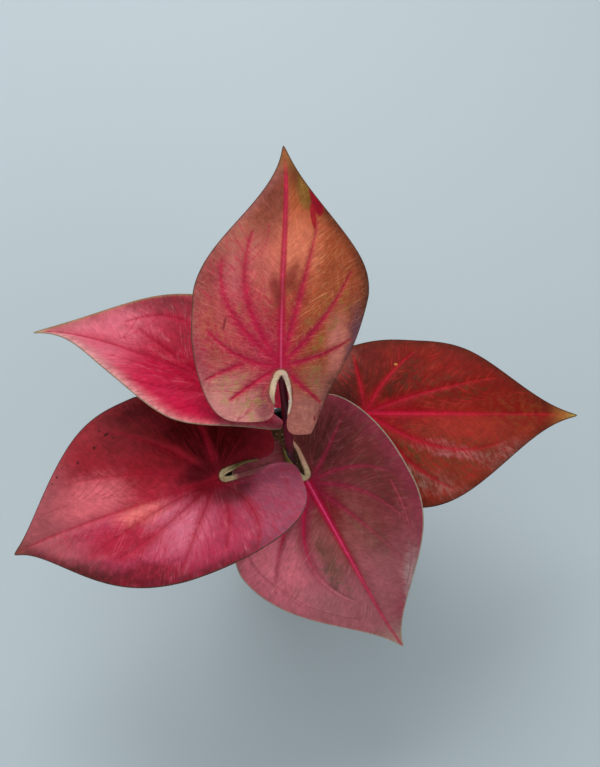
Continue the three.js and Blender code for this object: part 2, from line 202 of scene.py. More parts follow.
# Each vein: where it starts, what it bends towards and where it ends, along and out from the midrib,
# left of it positive, and half its width at the start.
# Each colour layer: what it follows, from, to, strength, colour, and words for where it shows.
# Each spot: middle, half length and half width, turn, softness, strength, colour, and such words.
leaves = [{
    "name": "back", "at": (-14.7, 22.9, 298), "length": 139, "azimuth": 90, "pitch": 26.5, "droop": 19,
    "lobeDroop": -10, "roll": 5.5, "sweep": -9.5, "hook": 6, "widest": 0.33, "shoulder": 0.94, "taper": 0.17,
    "opening": 2.2,
    "left": {"width": 56.5, "lobe": 34, "round": 2.6, "fold": 3, "lobeFold": 1, "bend": -24, "phase": 0.3},
    "right": {
        "width": 66, "lobe": 43.5, "round": 1.3, "fold": -1, "lobeFold": -28.5, "bend": -46, "phase": 1.4,
    },
    "stalkFoot": (-0.5, 8), "stalkVia": ((-10.5, -4, 150), (6.5, -44, -58)),
    "veins": [
        ((2, 0), (43, 33), (83, 20), 1.1), ((2, 0), (34, 43), (66, 38), 1.2),
        ((1, 0), (1, 26), (22, 45), 0.9), ((2, 24), (-2, 36), (-8, 47), 0.5),
        ((-1, 2), (-6, 13), (-20, 31), 0.8), ((2, 0), (42, -12), (90, -21), 1.1),
        ((2, 0), (26, -30), (60, -46), 1), ((1, 0), (4, -26), (16, -52), 0.8),
        ((-1, -2), (-12, -12), (-24, -34), 0.9),
    ],
    "colour": "#ad4c44",
    "layers": [
        ("across", 0.06, -0.1, 1, "#a84d2e"), ("along", 0.42, 0.66, 0.7, "#a65a48", "left"),
        ("along", 0.56, 0.82, 0.95, "#7c3c2e", "left"), ("along", 0.62, 0.86, 0.9, "#8e4a22", "right"),
        ("marginGap", 17, 0, 0.95, "#5a2918", "right"), ("marginGap", 9, 0, 0.65, "#8c5450", "left"),
        ("along", 0.08, -0.18, 0.9, "#c87f7c", "left"), ("along", 0.08, -0.18, 0.85, "#b06a62", "right"),
    ],
    "spots": [
        (70, -8, 26, 17, 0, 1, 0.85, "#cf7056"), (62, 14, 22, 11, 8, 1, 0.45, "#c4665c"),
        (34, -1, 24, 14, 0, 0.7, 0.75, "#87402a", "fibre"), (47, -12, 15, 7, -6, 1, 0.65, "#7c3a22"),
        (20, 45, 25, 14, 20, 1, 0.75, "#901c36", "mottle"), (48, 30, 20, 9, 20, 1, 0.45, "#b84a58"),
        (14, -41, 23, 11, 12, 1, 0.8, "#d87c72"), (-22, -36, 14, 10, 0, 1, 0.6, "#8c4a4e", "mottle"),
        (-30, -20, 10, 10, 0, 1, 0.6, "#b87468", "mottle"), (-36, -38, 10, 5, 30, 1, 0.7, "#6e1c30"),
        (-26, 16, 12, 9, 0, 0.8, 0.7, "#86783e", "mottle"), (2, 50, 20, 9, 10, 1, 0.5, "#a4284a"),
        (8, -60, 34, 10, 14, 1, 0.9, "#744856"), (-22, -50, 18, 13, 20, 1, 0.85, "#40231f"),
        (-20, 9, 18, 8, 0, 1, 0.85, "#783840"), (15, -17, 19, 12, -25, 0.8, 0.8, "#7c6a2e", "mottle"),
        (-9, -22, 14, 14, 0, 0.8, 0.6, "#80703a", "mottle"),
        (-14, 24, 15, 20, 0, 0.8, 0.65, "#8a7a42", "mottle"),
        (24, 13, 14, 7, 30, 0.8, 0.75, "#7c6030", "mottle"),
        (34, -34, 20, 13, -40, 0.8, 0.7, "#86642a", "mottle"),
        (70, 30, 26, 12, -30, 0.8, 0.5, "#86604a", "mottle"), (108, -12, 13, 5, 18, 0.7, 0.7, "#7a5a22"),
        (64, -26, 36, 20, -12, 1, 0.5, "#de9e6a", "streak"),
        (25, 3, 34, 24, 8, 1, 0.55, "#a01c34", "mottle"), (52, 47, 22, 10, -24, 1, 0.55, "#7a2c34"),
        (98, 9, 20, 10, -12, 1, 0.55, "#6c3020"), (58, 30, 26, 12, -10, 1, 0.3, "#c4686e"),
        (27, 21, 15, 9, 36, 0.8, 0.7, "#7c7038", "mottle"), (70, -36, 30, 12, -18, 1, 0.45, "#8c4020"),
        (4, 6, 36, 22, 14, 1, 0.4, "#a4203c"), (8, 0, 32, 12, 0, 1, 0.9, "#a0122c"),
    ],
    "veinLayers": [
        ("veinLine", 15, 2, 0.85, "#a82c42", "near left"), ("veinLine", 13, 2, 0.7, "#a2382e", "near right"),
        ("veinLine", 7, 1.2, 0.9, "#a8183a", "near"), ("branchLine", 4, 0.6, 0.6, "#ad2844", "patch left"),
        ("branchLine", 2, 0.8, 0.22, "#d08c5c", "patch right"),
        ("along", 1.2, -0.1, 0.26, "#d3907e", "streak left"),
        ("along", 1.4, -0.4, 0.2, "#de9e6a", "streak right"), ("along", 1.4, -0.4, 0.12, "#e2a284", "net"),
        ("veinLine", 3.4, 0.6, 0.28, "#b43a4c"), ("veinLine", 3.4, 0.6, 0.85, "#aa1238", "near"),
        ("ribGap", 3.6, 1.3, 0.85, "#a81436"), ("ribGap", 0.9, 0.35, 0.65, "#cc4a70", "near"),
        ("along", 0.84, 0.96, 0.85, "#8c5c30"),
    ],
    "marks": [
        (55, -5.2, 12, 4.4, -20, 1, 0.8, "#762820"), (47, 3.8, 12, 4, 14, 1, 0.75, "#7a2a24"),
        (105, -19.5, 12, 4.2, 15, 0.3, 0.95, "#86091f"), (94, -17.5, 9, 2, 10, 0.4, 0.9, "#9a1224"),
        (-34, -30, 2.2, 1.2, 30, 0.8, 0.85, "#7c1222"), (27, 35, 5, 0.9, -10, 0.8, 0.7, "#6b1a22"),
        (-10, 55, 1.1, 0.8, 0, 0.8, 0.9, "#1c1010"), (-4, 56, 0.8, 0.7, 0, 0.8, 0.9, "#1c1010"),
    ],
    "lip": [
        # The first lip layer is painted shade where the curled lip meets the blade.
        (34, 10, 0.6, "#6e4430", "beside"), (26, 8, 0.95, "#cdb49a", "lip left"),
        (44, 20, 0.95, "#dcc4b0", "lip right"), (60, 4, 0.5, "#97855a", "lip mottle"),
    ],
    "rim": "#4e3a28", "gloss": 0.42,
}, {
    "name": "right", "at": (43, 31.3, 184), "length": 151.5, "azimuth": -3, "pitch": 7, "droop": 16,
    "lobeDroop": 5, "roll": 1.5, "sweep": 7.5, "hook": -1, "widest": 0.28, "shoulder": 1.05, "taper": 0.17,
    "opening": 1.5,
    "left": {
        "width": 59, "lobe": 42, "round": 2.5, "fold": 6.5, "lobeFold": -2.5, "bend": -25, "phase": 0.9,
    },
    "right": {
        "width": 67.5, "lobe": 32, "round": 1.8, "fold": 7, "lobeFold": -10, "bend": -21, "phase": 2.2,
    },
    "stalkFoot": (10, 2), "stalkVia": ((16, 8, 128), (-2, -1, -45)),
    "veins": [
        ((1, 0), (40, 18), (92, 27), 1), ((1, 0), (8, 22), (34, 48), 0.9),
        ((0, 2), (-3, 20), (-10, 44), 0.8), ((2, 0), (58, -40), (98, -20), 1.2),
        ((2, -1), (24, -36), (62, -54), 0.9), ((0, -2), (-8, -18), (-14, -40), 0.8),
    ],
    "colour": "#7a1008",
    "layers": [
        ("across", 0.05, -0.25, 0.9, "#842a1c"), ("along", 0.5, 1, 0.5, "#7c1c10"),
        ("along", 0.12, -0.18, 0.85, "#481811"), ("marginGap", 9, 0, 0.7, "#4e2416"),
        ("marginGap", 20, 0, 0.55, "#5a1a0e", "left"),
    ],
    "spots": [
        (24, 24, 26, 14, 40, 0.8, 0.85, "#43230c", "mottle"),
        (46, -50, 28, 9, -10, 1, 0.7, "#96625c", "fibre"),
        (26, -34, 30, 18, -40, 0.8, 0.85, "#54381a", "mottle"),
        (62, 18, 34, 14, 0, 0.8, 0.7, "#5a2410", "mottle"),
        (70, -34, 30, 16, 10, 0.8, 0.65, "#5c3018", "mottle"),
        (108, 0, 26, 16, 0, 0.8, 0.5, "#6e3a1a", "mottle"), (-24, 40, 18, 16, 0, 1, 0.7, "#93504a"),
        # The first spot is a painted sheen along the lower vein.
        (60, -27, 26, 5, -12, 1, 0.75, "#b87074", "fibre"), (66, -6, 34, 14, -6, 1, 0.55, "#a02a20"),
        (6, 22, 28, 28, 0, 1, 0.4, "#460a02"), (30, -42, 22, 9, -34, 1, 0.5, "#a07068", "fibre"),
        (98, -30, 22, 9, 22, 1, 0.5, "#8c6460", "fibre"), (10, 0, 40, 10, 0, 1, 0.85, "#8e0412"),
    ],
    "veinLayers": [
        ("veinLine", 8, 1.2, 0.95, "#980a1a", "near"), ("branchLine", 2.6, 0.8, 0.7, "#a01a1e", "patch"),
        ("along", 1.4, -0.4, 0.5, "#a2452c", "streak patch"), ("along", 1.4, -0.4, 0.3, "#8a3020", "ray"),
        ("along", 1.4, -0.4, 0.3, "#5a2812", "between"), ("veinLine", 2.4, 1, 0.35, "#93241c"),
        ("veinLine", 2.4, 1, 0.9, "#ac0c2a", "near"), ("ribGap", 5, 1, 0.9, "#a0081e", "near"),
        ("ribGap", 1.8, 0.6, 0.5, "#961a1c"), ("ribGap", 1.8, 0.6, 0.95, "#c01438", "near"),
        ("along", 0.84, 0.95, 0.85, "#9c6230"), ("along", 0.93, 0.99, 0.8, "#a89448"),
    ],
    "marks": [(21, 37, 1.4, 1, 0, 0.8, 0.8, "#c98a48"), (-14, 8, 14, 9, 0, 1, 0.65, "#380c08")],
    "lip": [(40, 10, 0.9, "#c0a080", "lip"), (60, 4, 0.5, "#7c6a44", "lip mottle")],
    "rim": "#41261a", "gloss": 0.36,
}, {
    "name": "front", "at": (2.4, -25.3, 206), "length": 149, "azimuth": -59.6, "pitch": -18, "droop": 35.5,
    "lobeDroop": 5, "roll": 5, "sweep": 2.5, "hook": 3, "widest": 0.23, "shoulder": 1.05, "taper": 0.16,
    "opening": 0.9,
    "left": {
        "width": 65, "lobe": 49.5, "round": 2.3, "fold": 8, "lobeFold": -2, "bend": -13.5, "phase": 1.8,
    },
    "right": {
        "width": 71, "lobe": 42, "round": 1.4, "fold": 9, "lobeFold": -20, "bend": -21.5, "phase": 0.2,
    },
    "stalkFoot": (5.5, -8), "stalkVia": ((4, -12, 135), (-2, 4, -55)),
    "veins": [
        ((3, 0), (36, 20), (84, 33), 0.9), ((2, 1), (16, 34), (54, 46), 0.8),
        ((1, 2), (-2, 34), (22, 54), 0.7), ((0, 3), (-10, 18), (-32, 48), 0.7),
        ((3, 0), (46, -44), (90, -12), 1.2), ((2, 0), (18, -36), (56, -56), 0.9),
        ((0, -2), (-6, -24), (-12, -48), 0.7), ((26, 50), (66, 52), (98, 26), 0.4),
        ((2, -52), (28, -68), (58, -50), 0.4), ((58, -50), (78, -46), (104, -16), 0.4),
    ],
    "colour": "#702a2c",
    "layers": [
        ("across", 0, -0.3, 1, "#b65a66"), ("along", 0.24, 0.62, 0.85, "#a25a60"),
        ("marginGap", 16, 0, 0.5, "#8e2c48", "left"), ("along", 0.76, 0.95, 0.9, "#a88074"),
    ],
    "spots": [
        (48, 8, 32, 16, 0, 1, 0.5, "#7c423a"), (54, -14, 22, 7, -4, 1, 0.7, "#6e4c3c"),
        (50, -13, 19, 5, -2, 0.6, 0.85, "#4c3c2c", "mottle"),
        (66, -20, 17, 5, 4, 0.6, 0.8, "#56463a", "mottle"),
        (78, -12, 14, 4, 0, 0.8, 0.6, "#66503e", "mottle"),
        (66, 18, 26, 8, -4, 0.9, 0.55, "#6e5046", "fibre"),
        (46, 18, 26, 12, 20, 0.9, 0.6, "#5c4030", "mottle"),
        (28, -16, 22, 12, -20, 0.9, 0.75, "#5a3a26", "mottle"),
        # The second spot is pink lightened as painted light, to offset the shade that falls there from the
        # leaf above.
        (20, 40, 26, 14, 10, 0.9, 0.6, "#4c2a20", "mottle"), (34, -46, 42, 21, 6, 1, 0.95, "#e47482"),
        (78, -32, 22, 10, 26, 1, 0.5, "#a86468"), (-22, 22, 24, 24, 0, 1, 0.75, "#441a14"),
        (34, 2, 30, 34, 0, 1, 0.35, "#b05a56"), (98, 31, 28, 8, -24, 1, 0.6, "#a8928e"),
        (72, 12, 26, 10, 6, 1, 0.4, "#b8606a"), (12, 2, 28, 11, 8, 1, 0.8, "#7c0817"),
    ],
    "veinLayers": [
        ("veinLine", 7, 1.2, 0.6, "#8c1c38", "near left"),
        ("veinLine", 8, 1.2, 0.9, "#9c1a3e", "near right"),
        ("branchLine", 2.4, 0.6, 0.25, "#a4525e", "patch"),
        ("along", 1.4, -0.4, 0.2, "#a8706a", "streak patch left"),
        ("along", 1.4, -0.4, 0.32, "#e2aaa0", "streak right"),
        ("along", 1.4, -0.4, 0.4, "#8a2c3c", "streak patch right"),
        ("along", 1.4, -0.4, 0.2, "#a04450", "ray"), ("along", 1.4, -0.4, 0.3, "#6e463a", "between"),
        ("veinLine", 3, 0.6, 0.3, "#b47272", "far left"),
        ("veinLine", 3.6, 0.6, 0.5, "#cf9696", "far right"),
        ("veinLine", 2.4, 0.8, 0.55, "#a41c44", "near left"),
        ("veinLine", 2.6, 0.8, 0.9, "#c01646", "near right"), ("ribGap", 5, 1.4, 0.9, "#9c0a30", "near"),
        ("ribGap", 2.2, 0.9, 0.55, "#b02c48"), ("ribGap", 2.2, 0.9, 0.9, "#c40c40", "near"),
        ("ribGap", 0.8, 0.3, 0.8, "#e04c7e", "near"),
    ],
    "marks": [],
    "lip": [
        # The first lip layer is painted shade where the curled lip meets the blade.
        (40, 12, 0.6, "#5a3026", "beside"), (50, 20, 0.95, "#c99a82", "lip left"),
        (50, 20, 0.9, "#7d7838", "lip right"), (10, 2, 0.7, "#d8c29a", "lip"),
        (60, 6, 0.5, "#8a6a48", "lip mottle"),
    ],
    "rim": "#a09a84", "gloss": 0.42,
}, {
    "name": "left_low", "at": (-57.5, -29, 228), "length": 160, "azimuth": 198, "pitch": -2.5, "droop": 36,
    "lobeDroop": 0, "roll": -5, "sweep": -6, "hook": 3.5, "widest": 0.24, "shoulder": 1.26, "taper": 0.22,
    "opening": 0.7,
    "left": {"width": 59, "lobe": 53, "round": 2.5, "fold": 16, "lobeFold": 10, "bend": -28, "phase": 0.3},
    "right": {
        "width": 73, "lobe": 44, "round": 1.3, "fold": 13, "lobeFold": -25, "bend": -29.5, "phase": 1.4,
    },
    "stalkFoot": (-5.5, -8), "stalkVia": ((-30, -22, 118), (-6, -6, -60)),
    "veins": [
        ((3, 0), (40, 6), (90, 22), 0.8), ((4, 1), (36, 22), (76, 31), 0.9),
        ((2, 2), (14, 20), (38, 50), 0.8), ((0, 3), (-6, 24), (8, 48), 0.7),
        ((-2, 4), (-26, 30), (-12, 53), 0.7), ((3, -1), (44, -22), (92, -28), 0.8),
        ((2, -1), (22, -34), (58, -52), 0.7), ((0, -2), (-4, -26), (4, -56), 0.6),
    ],
    "colour": "#b43a56",
    "layers": [
        # The first layer darkens the right half: partly its own deeper red, partly painted shade from the
        # leaf above.
        ("across", 0.06, -0.12, 1, "#8e1e2a"), ("along", 0.5, 0.76, 0.8, "#aa585e"),
        ("marginGap", 12, 0, 0.9, "#5e1a1f", "left"), ("along", 0.02, -0.2, 0.8, "#a8566c", "left"),
        ("across", -0.5, -0.9, 0.4, "#8a3a3c"),
    ],
    "spots": [
        # Both spots on this line are painted shade, cast on the right half by the leaf above.
        (0, -32, 44, 40, 0, 1, 1, "#4a0608"), (38, -20, 24, 15, 0, 1, 0.7, "#921622"),
        (38, -4, 30, 10, -4, 1, 0.65, "#ba2a3c"), (26, 14, 14, 9, 20, 1, 0.6, "#cc5464"),
        # Both spots on this line are painted shade along the right half's edge, under the leaf above.
        (52, -44, 26, 12, 0, 1, 0.6, "#701c1e"), (30, -60, 40, 8, 0, 1, 0.7, "#4e0c0c"),
        # The first spot is a painted sheen on the right half towards the tip.
        (84, -12, 30, 17, 0, 1, 0.9, "#d86670"), (58, 30, 16, 8, 10, 1, 0.7, "#dc6e84", "mottle"),
        (92, 24, 20, 9, -10, 1, 0.5, "#8c4a50", "mottle"), (34, 22, 26, 20, 0, 1, 0.85, "#e27890"),
        # The first spot is a painted highlight in the middle of the blade.
        (54, 7, 20, 9, 0, 1, 0.85, "#ee7a74"), (68, 22, 32, 13, -8, 0.9, 0.85, "#a81c32"),
        (62, 46, 32, 9, -12, 0.9, 0.8, "#6e141c"), (102, 7, 22, 5, 0, 0.9, 0.85, "#942438", "fibre"),
        # The last spot on this line and the first on the next are painted shade at the foot of the midrib.
        (98, 33, 28, 9, -24, 1, 0.65, "#401c10"), (4, -2, 16, 10, 0, 1, 0.6, "#340206"),
        (9, -3, 20, 9, 0, 1, 0.85, "#540610"), (-6, 10, 20, 8, 0, 1, 0.75, "#5e1420"),
        (-7, 21, 5, 4, 0, 0.8, 0.6, "#6e5c58", "mottle"),
    ],
    "veinLayers": [
        ("veinLine", 12, 1.4, 0.6, "#a8182e", "near"), ("branchLine", 3, 0.6, 0.45, "#a01c36", "patch left"),
        ("branchLine", 2.2, 0.8, 0.45, "#7e1420", "patch right"),
        ("along", 1.4, -0.4, 0.38, "#dc8c98", "streak patch left"),
        ("along", 1.4, -0.4, 0.35, "#a4303c", "streak patch right"),
        ("along", 1.4, -0.4, 0.42, "#a81a32", "ray patch left"),
        ("along", 1.4, -0.4, 0.4, "#a0223a", "mottle left"),
        ("along", 1.4, -0.4, 0.3, "#d4707e", "between patch left"),
        ("along", 1.4, -0.4, 0.35, "#9c1c2a", "ray right"), ("veinLine", 2.4, 0.6, 0.25, "#901830", "fibre"),
        ("veinLine", 2.4, 0.6, 0.45, "#980c28", "near"), ("ribGap", 6, 0.8, 0.5, "#a8142c", "near"),
        ("ribGap", 2, 0.6, 0.45, "#a4142c"), ("along", 0.84, 0.98, 0.8, "#7c4038"),
    ],
    "marks": [
        # The first mark is painted shade beside the stalk.
        (9, -7, 15, 8, 0, 1, 0.7, "#360206"), (11, 6, 12, 7, 0, 1, 0.55, "#6a000c"),
        (-8, 14, 16, 8, 0, 1, 0.6, "#4c2024"), (62, -52, 2.2, 1.2, 20, 0.8, 0.8, "#24100c"),
        (72, -46, 1.3, 1, 0, 0.8, 0.8, "#24100c"), (86, -40, 1.5, 0.9, 40, 0.8, 0.8, "#2a1410"),
        (20, -55, 3, 1.5, 10, 0.8, 0.7, "#241410"), (66, -56, 1.1, 0.7, 60, 0.8, 0.8, "#24100c"),
        (58, -48, 0.9, 0.7, 0, 0.8, 0.7, "#2c1612"), (104, -36, 1.2, 0.8, 20, 0.8, 0.8, "#241410"),
        (109, -33, 0.9, 0.8, 0, 0.8, 0.7, "#241410"),
    ],
    "lip": [
        # The first lip layer is painted shade where the curled lip meets the blade.
        (40, 12, 0.6, "#4e1c1a", "beside"), (60, 20, 0.9, "#6a6238", "lip right"),
        (60, 20, 0.8, "#7c3a44", "lip left"), (10, 3, 0.95, "#ccb48a", "lip"),
        (60, 6, 0.5, "#57492c", "lip mottle"),
    ],
    "rim": "#3f3a2c", "gloss": 0.42,
}, {
    "name": "left_high", "at": (-52.4, 29.3, 236), "length": 140.5, "azimuth": 157, "pitch": 13, "droop": 29,
    "lobeDroop": 3, "roll": 8.5, "sweep": -2, "hook": 9, "widest": 0.17, "shoulder": 1.02, "taper": 0.18,
    "opening": 1.5,
    "left": {"width": 60, "lobe": 42, "round": 2.3, "fold": 46, "lobeFold": 15, "bend": -19, "phase": 2.5},
    "right": {"width": 63.5, "lobe": 41, "round": 2, "fold": 16, "lobeFold": 0, "bend": -28, "phase": 0.7},
    "stalkFoot": (-10, 3), "stalkVia": ((-34, 18, 122), (-7, 9, -70)),
    "veins": [
        ((3, 0), (34, 12), (78, 20), 0.8), ((2, 1), (22, 32), (56, 42), 0.9),
        ((1, 2), (2, 28), (22, 50), 0.8), ((-1, 3), (-12, 20), (-22, 40), 0.7),
        ((2, 0), (38, -56), (80, -18), 1), ((4, 0), (34, -4), (70, -16), 0.8),
        ((1, -2), (2, -28), (20, -52), 0.8), ((-1, -3), (-12, -20), (-22, -40), 0.7),
    ],
    "colour": "#be1c42",
    "layers": [
        ("across", 0.05, -0.3, 0.8, "#b2384a"), ("along", 0.34, 0.6, 0.85, "#d26a7c"),
        ("along", 0.66, 0.92, 0.85, "#c67e84"), ("marginGap", 14, 1, 0.6, "#9a4a48", "right"),
    ],
    "spots": [
        (14, 2, 54, 30, 0, 1, 0.9, "#ae0a30"), (40, -46, 36, 12, 8, 1, 0.8, "#7c2028"),
        (28, -24, 28, 15, -8, 1, 0.7, "#841a28"), (68, -38, 26, 10, 20, 1, 0.75, "#7a2430"),
        (52, -12, 18, 8, -10, 0.8, 0.4, "#a3283c"), (66, -22, 18, 5, 24, 0.8, 0.6, "#b03048", "fibre"),
        (90, 0, 34, 5, -2, 1, 0.4, "#cc4a60"),
    ],
    "veinLayers": [
        ("marginGap", 14, 1, 0.9, "#c27c7c", "far left"),
        ("marginGap", 6, 0, 0.75, "#cfa09a", "fibre far left"),
        ("marginGap", 3.5, 0, 0.7, "#8e7248", "right"), ("veinLine", 10, 1.2, 0.75, "#a80c30", "near"),
        ("branchLine", 3, 0.6, 0.5, "#aa1638", "patch"),
        ("along", 1.4, -0.4, 0.45, "#de8c94", "streak patch right"),
        ("along", 1.4, -0.4, 0.35, "#dc5c74", "streak left"),
        ("along", 1.4, -0.4, 0.5, "#a8142e", "ray right"),
        ("along", 1.4, -0.4, 0.35, "#e08c94", "between patch"),
        ("along", 1.4, -0.4, 0.35, "#a00c2c", "ray left"), ("veinLine", 2.4, 0.6, 0.3, "#b02040", "fibre"),
        ("veinLine", 2.4, 0.6, 0.6, "#9e082c", "near"), ("ribGap", 5, 0.8, 0.85, "#a80a2e", "near"),
        ("ribGap", 2, 0.7, 0.5, "#b02444"), ("along", 0.92, 0.985, 0.85, "#b3a27c"),
    ],
    "marks": [(2, 43, 31, 15, 10, 1, 0.85, "#bc0838")],
    "lip": [(40, 10, 0.9, "#c0a080", "lip"), (60, 4, 0.5, "#7c6a44", "lip mottle")],
    "rim": "#7e7058", "gloss": 0.38,
}]


def arcPath(angle, turn, s):  # where a path has got to that starts at an angle and turns evenly
    turn = np.where(np.abs(turn) < tiny, tiny, turn)
    end = angle + turn * s
    return (np.sin(end) - np.sin(angle)) / turn, (np.cos(angle) - np.cos(end)) / turn, end


def bluntArc(x, power):
    return (1 - np.clip(x, 0, 1) ** power) ** (1 / power)


def bladeEdges(leaf, half, u):  # inner and outer edge of a half blade, out from the midrib
    widest = leaf["widest"] * leaf["length"]
    lobeEnd = blade["lobeMiddle"] * half["width"]
    notch = -blade["notchBack"]
    q = np.clip((u - widest) / (leaf["length"] - widest), 0, 1)
    bell = 0.5 * (1 + np.cos(np.pi * q ** leaf["shoulder"]))
    front = half["width"] * (bell * (1 - leaf["taper"]) + leaf["taper"] * (1 - q) ** blade["tipBlunt"])
    lobeward = bluntArc((widest - u) / (widest + half["lobe"]), half["round"])
    outer = np.where(u >= widest, front, lobeEnd + (half["width"] - lobeEnd) * lobeward)
    into = np.clip((notch - u) / (2 * blade["notchHalf"]), 0, 1)
    opened = np.clip((notch - blade["notchHalf"] - u) / (half["lobe"] + notch), 0, 1)
    gap = blade["notchHalf"] * np.sqrt(1 - (1 - into) ** 2)
    gap = gap + leaf["opening"] * np.sin(np.pi * opened ** blade["notchWiden"])
    blunt = bluntArc((notch - u) / (half["lobe"] + notch), blade["notchBlunt"])
    inner = np.where(u >= notch, 0, lobeEnd - (lobeEnd - gap) * blunt)
    return inner, np.maximum(outer, inner)


def lipDistance(u, v, inner):  # from the notch's edge, and from the middle of its round end
    bottom = -blade["notchBack"] - blade["notchHalf"]
    along = np.where(u > bottom, u - bottom, 0)
    reach = np.hypot(along, v)
    return np.where(u > bottom, reach - blade["notchHalf"], v - inner), along, reach


def curlLip(half, u, v, inner):  # the notch's edge curls up and back over the blade
    fromEdge, along, reach = lipDistance(u, v, inner)
    curled = blade["lipWidth"] - fromEdge
    bottom = -blade["notchBack"] - blade["notchHalf"]
    grown = blade["lipStart"] + (1 - blade["lipStart"]) * smooth((bottom - u) / blade["lipGrow"])
    fade = smooth((u + half["lobe"]) / (blade["lipFade"] * half["lobe"]))
    turn = math.radians(blade["lipTurn"]) * grown * fade
    flat = (curled <= 0) | (turn < tiny)
    radius = blade["lipWidth"] / np.maximum(turn, tiny)
    moved = reach + curled - radius * np.sin(curled / radius)
    scale = moved / np.maximum(reach, tiny)
    curledU = np.where(u > bottom, bottom + along * scale, u)
    curledV = np.where(u > bottom, v * scale, moved)
    height = radius * (1 - np.cos(curled / radius))
    return np.where(flat, u, curledU), np.where(flat, v, curledV), np.where(flat, 0, height)


def bladePoints(leaf, side, u, v):  # points of the upper face
    half = leaf["left"] if side > 0 else leaf["right"]
    u, v, lip = curlLip(half, u, v, bladeEdges(leaf, half, u)[0])
    widest = leaf["widest"] * leaf["length"]
    waving = np.sin(2 * np.pi * blade["wavesAlong"] * u / leaf["length"] + half["phase"])
    height = lip + blade["wave"] * waving * np.clip(v / half["width"], 0, blade["waveReach"]) ** 2
    lobeward = smooth((widest - u) / (widest + half["lobe"]))
    fold = np.radians(half["fold"] + half["lobeFold"] * lobeward)
    out, rise, slope = arcPath(fold, math.radians(half["bend"]) / half["width"], v)
    part = u / leaf["length"]
    bow = leaf["sweep"] * np.sign(u) * part ** 2 + leaf["hook"] * np.clip(part, 0, 1) ** blade["hookPower"]
    y = side * (out - np.sin(slope) * height) + bow
    z = rise + np.cos(slope) * height
    turn = -np.radians(np.where(u > 0, leaf["droop"], leaf["lobeDroop"])) / leaf["length"]
    pitch = math.radians(leaf["pitch"])
    forward, up, tilt = arcPath(pitch, turn, u)
    points = np.stack([forward - np.sin(tilt) * z, y, up + np.cos(tilt) * z], -1)
    roll = Matrix.Rotation(math.radians(leaf["roll"]), 3, Vector((math.cos(pitch), 0, math.sin(pitch))))
    place = Matrix.Rotation(math.radians(leaf["azimuth"]), 3, "Z") @ roll
    return points @ np.array(place).T + np.array(leaf["at"])


def upwards(leaf, side, u, v):  # the upper face's normals
    step = 0.05
    along = bladePoints(leaf, side, u + step, v) - bladePoints(leaf, side, u - step, v)
    across = bladePoints(leaf, side, u, v + 2 * step) - bladePoints(leaf, side, u, v)
    normal = np.cross(along, across) * side
    return normal / np.maximum(np.linalg.norm(normal, axis=-1, keepdims=True), tiny)


def bladeRows(leaf, half):  # places along a half blade, closer where its outline turns fast
    notch = -blade["notchBack"]
    roundEnd = 2 * blade["notchHalf"]
    lobe = 1 - np.cos(np.linspace(0, np.pi / 2, blade["lobeRows"] + 1))
    middle = 1 - np.sin(np.linspace(0, np.pi / 2, blade["notchRows"] + 1))[1:]
    t = np.linspace(0, 1, blade["frontRows"] + 1)[1:]
    front = blade["frontEven"] * t + (1 - blade["frontEven"]) * np.sin(np.pi / 2 * t)
    return np.concatenate([
        -half["lobe"] + (half["lobe"] + notch - roundEnd) * lobe,
        notch - roundEnd * middle,
        notch + (leaf["length"] - notch) * front,
    ])


def veinLine(start, bend, end, halfWidth):  # points along a vein, and its half width there
    t = np.linspace(0, 1, blade["veinPoints"])[:, None]
    points = (1 - t) ** 2 * np.array(start) + 2 * t * (1 - t) * np.array(bend) + t * t * np.array(end)
    return points, halfWidth * (1 - blade["veinTaper"] * t[:, 0])


def lineGap(u, v, lines):  # to the nearest line in its half widths, and the same with its side
    nearest = np.full(len(u), follow["farthest"])
    side = np.ones(len(u))
    spots = np.stack([u, v], -1)
    for points, widths in lines:
        for a, b, w in zip(points, points[1:], widths):
            ahead = b - a
            away = spots - a
            t = np.clip(away @ ahead / (ahead @ ahead), 0, 1)
            gap = np.hypot(away[:, 0] - t * ahead[0], away[:, 1] - t * ahead[1]) / w
            closer = gap < nearest
            nearest[closer] = gap[closer]
            side[closer] = np.sign(ahead[0] * away[closer, 1] - ahead[1] * away[closer, 0])
    return nearest, nearest * side


def growBranch(leaf, start, heading, way, others):
    path = [start]
    while len(path) < branch["most"]:
        heading -= way * math.radians(branch["bend"])
        ahead = path[-1] + branch["step"] * np.array([math.cos(heading), math.sin(heading)])
        half = leaf["left"] if ahead[1] > 0 else leaf["right"]
        inner, outer = (float(edge) for edge in bladeEdges(leaf, half, ahead[0]))
        inside = inner + branch["marginGap"] / 2 < abs(ahead[1]) < outer - branch["marginGap"]
        met = len(path) > 2 and np.min(np.hypot(*(others - ahead).T)) < branch["meet"]
        path.append(ahead)
        if met or not inside:
            break
    return np.array(path)


def branchLines(leaf, veins):
    count = branch["ribPoints"]
    rib = np.stack([np.linspace(0, leaf["length"], count), np.zeros(count)], -1)
    known = np.concatenate([rib] + [points for points, widths in veins])
    parents = [(rib, branch["ribSpacing"])] + [(points, branch["spacing"]) for points, widths in veins]
    made = []
    for parent, spacing in parents:
        steps = np.linalg.norm(np.diff(parent, axis=0), axis=1)
        run = np.concatenate([[0], np.cumsum(steps)])
        for at in np.arange(branch["first"], run[-1] - branch["last"], spacing):
            start, ahead = (np.array([np.interp(where, run, parent[:, i]) for i in (0, 1)])
                            for where in (at, at + branch["ahead"]))
            heading = math.atan2(*(ahead - start)[::-1])
            for way in (1, -1):
                turned = heading + way * math.radians(branch["turn"])
                path = growBranch(leaf, start, turned, way, known)
                if len(path) < branch["fewest"]:
                    continue
                known = np.concatenate([known, path[2:]])
                made.append((path, np.linspace(branch["half"], branch["endHalf"], len(path))))
    return made


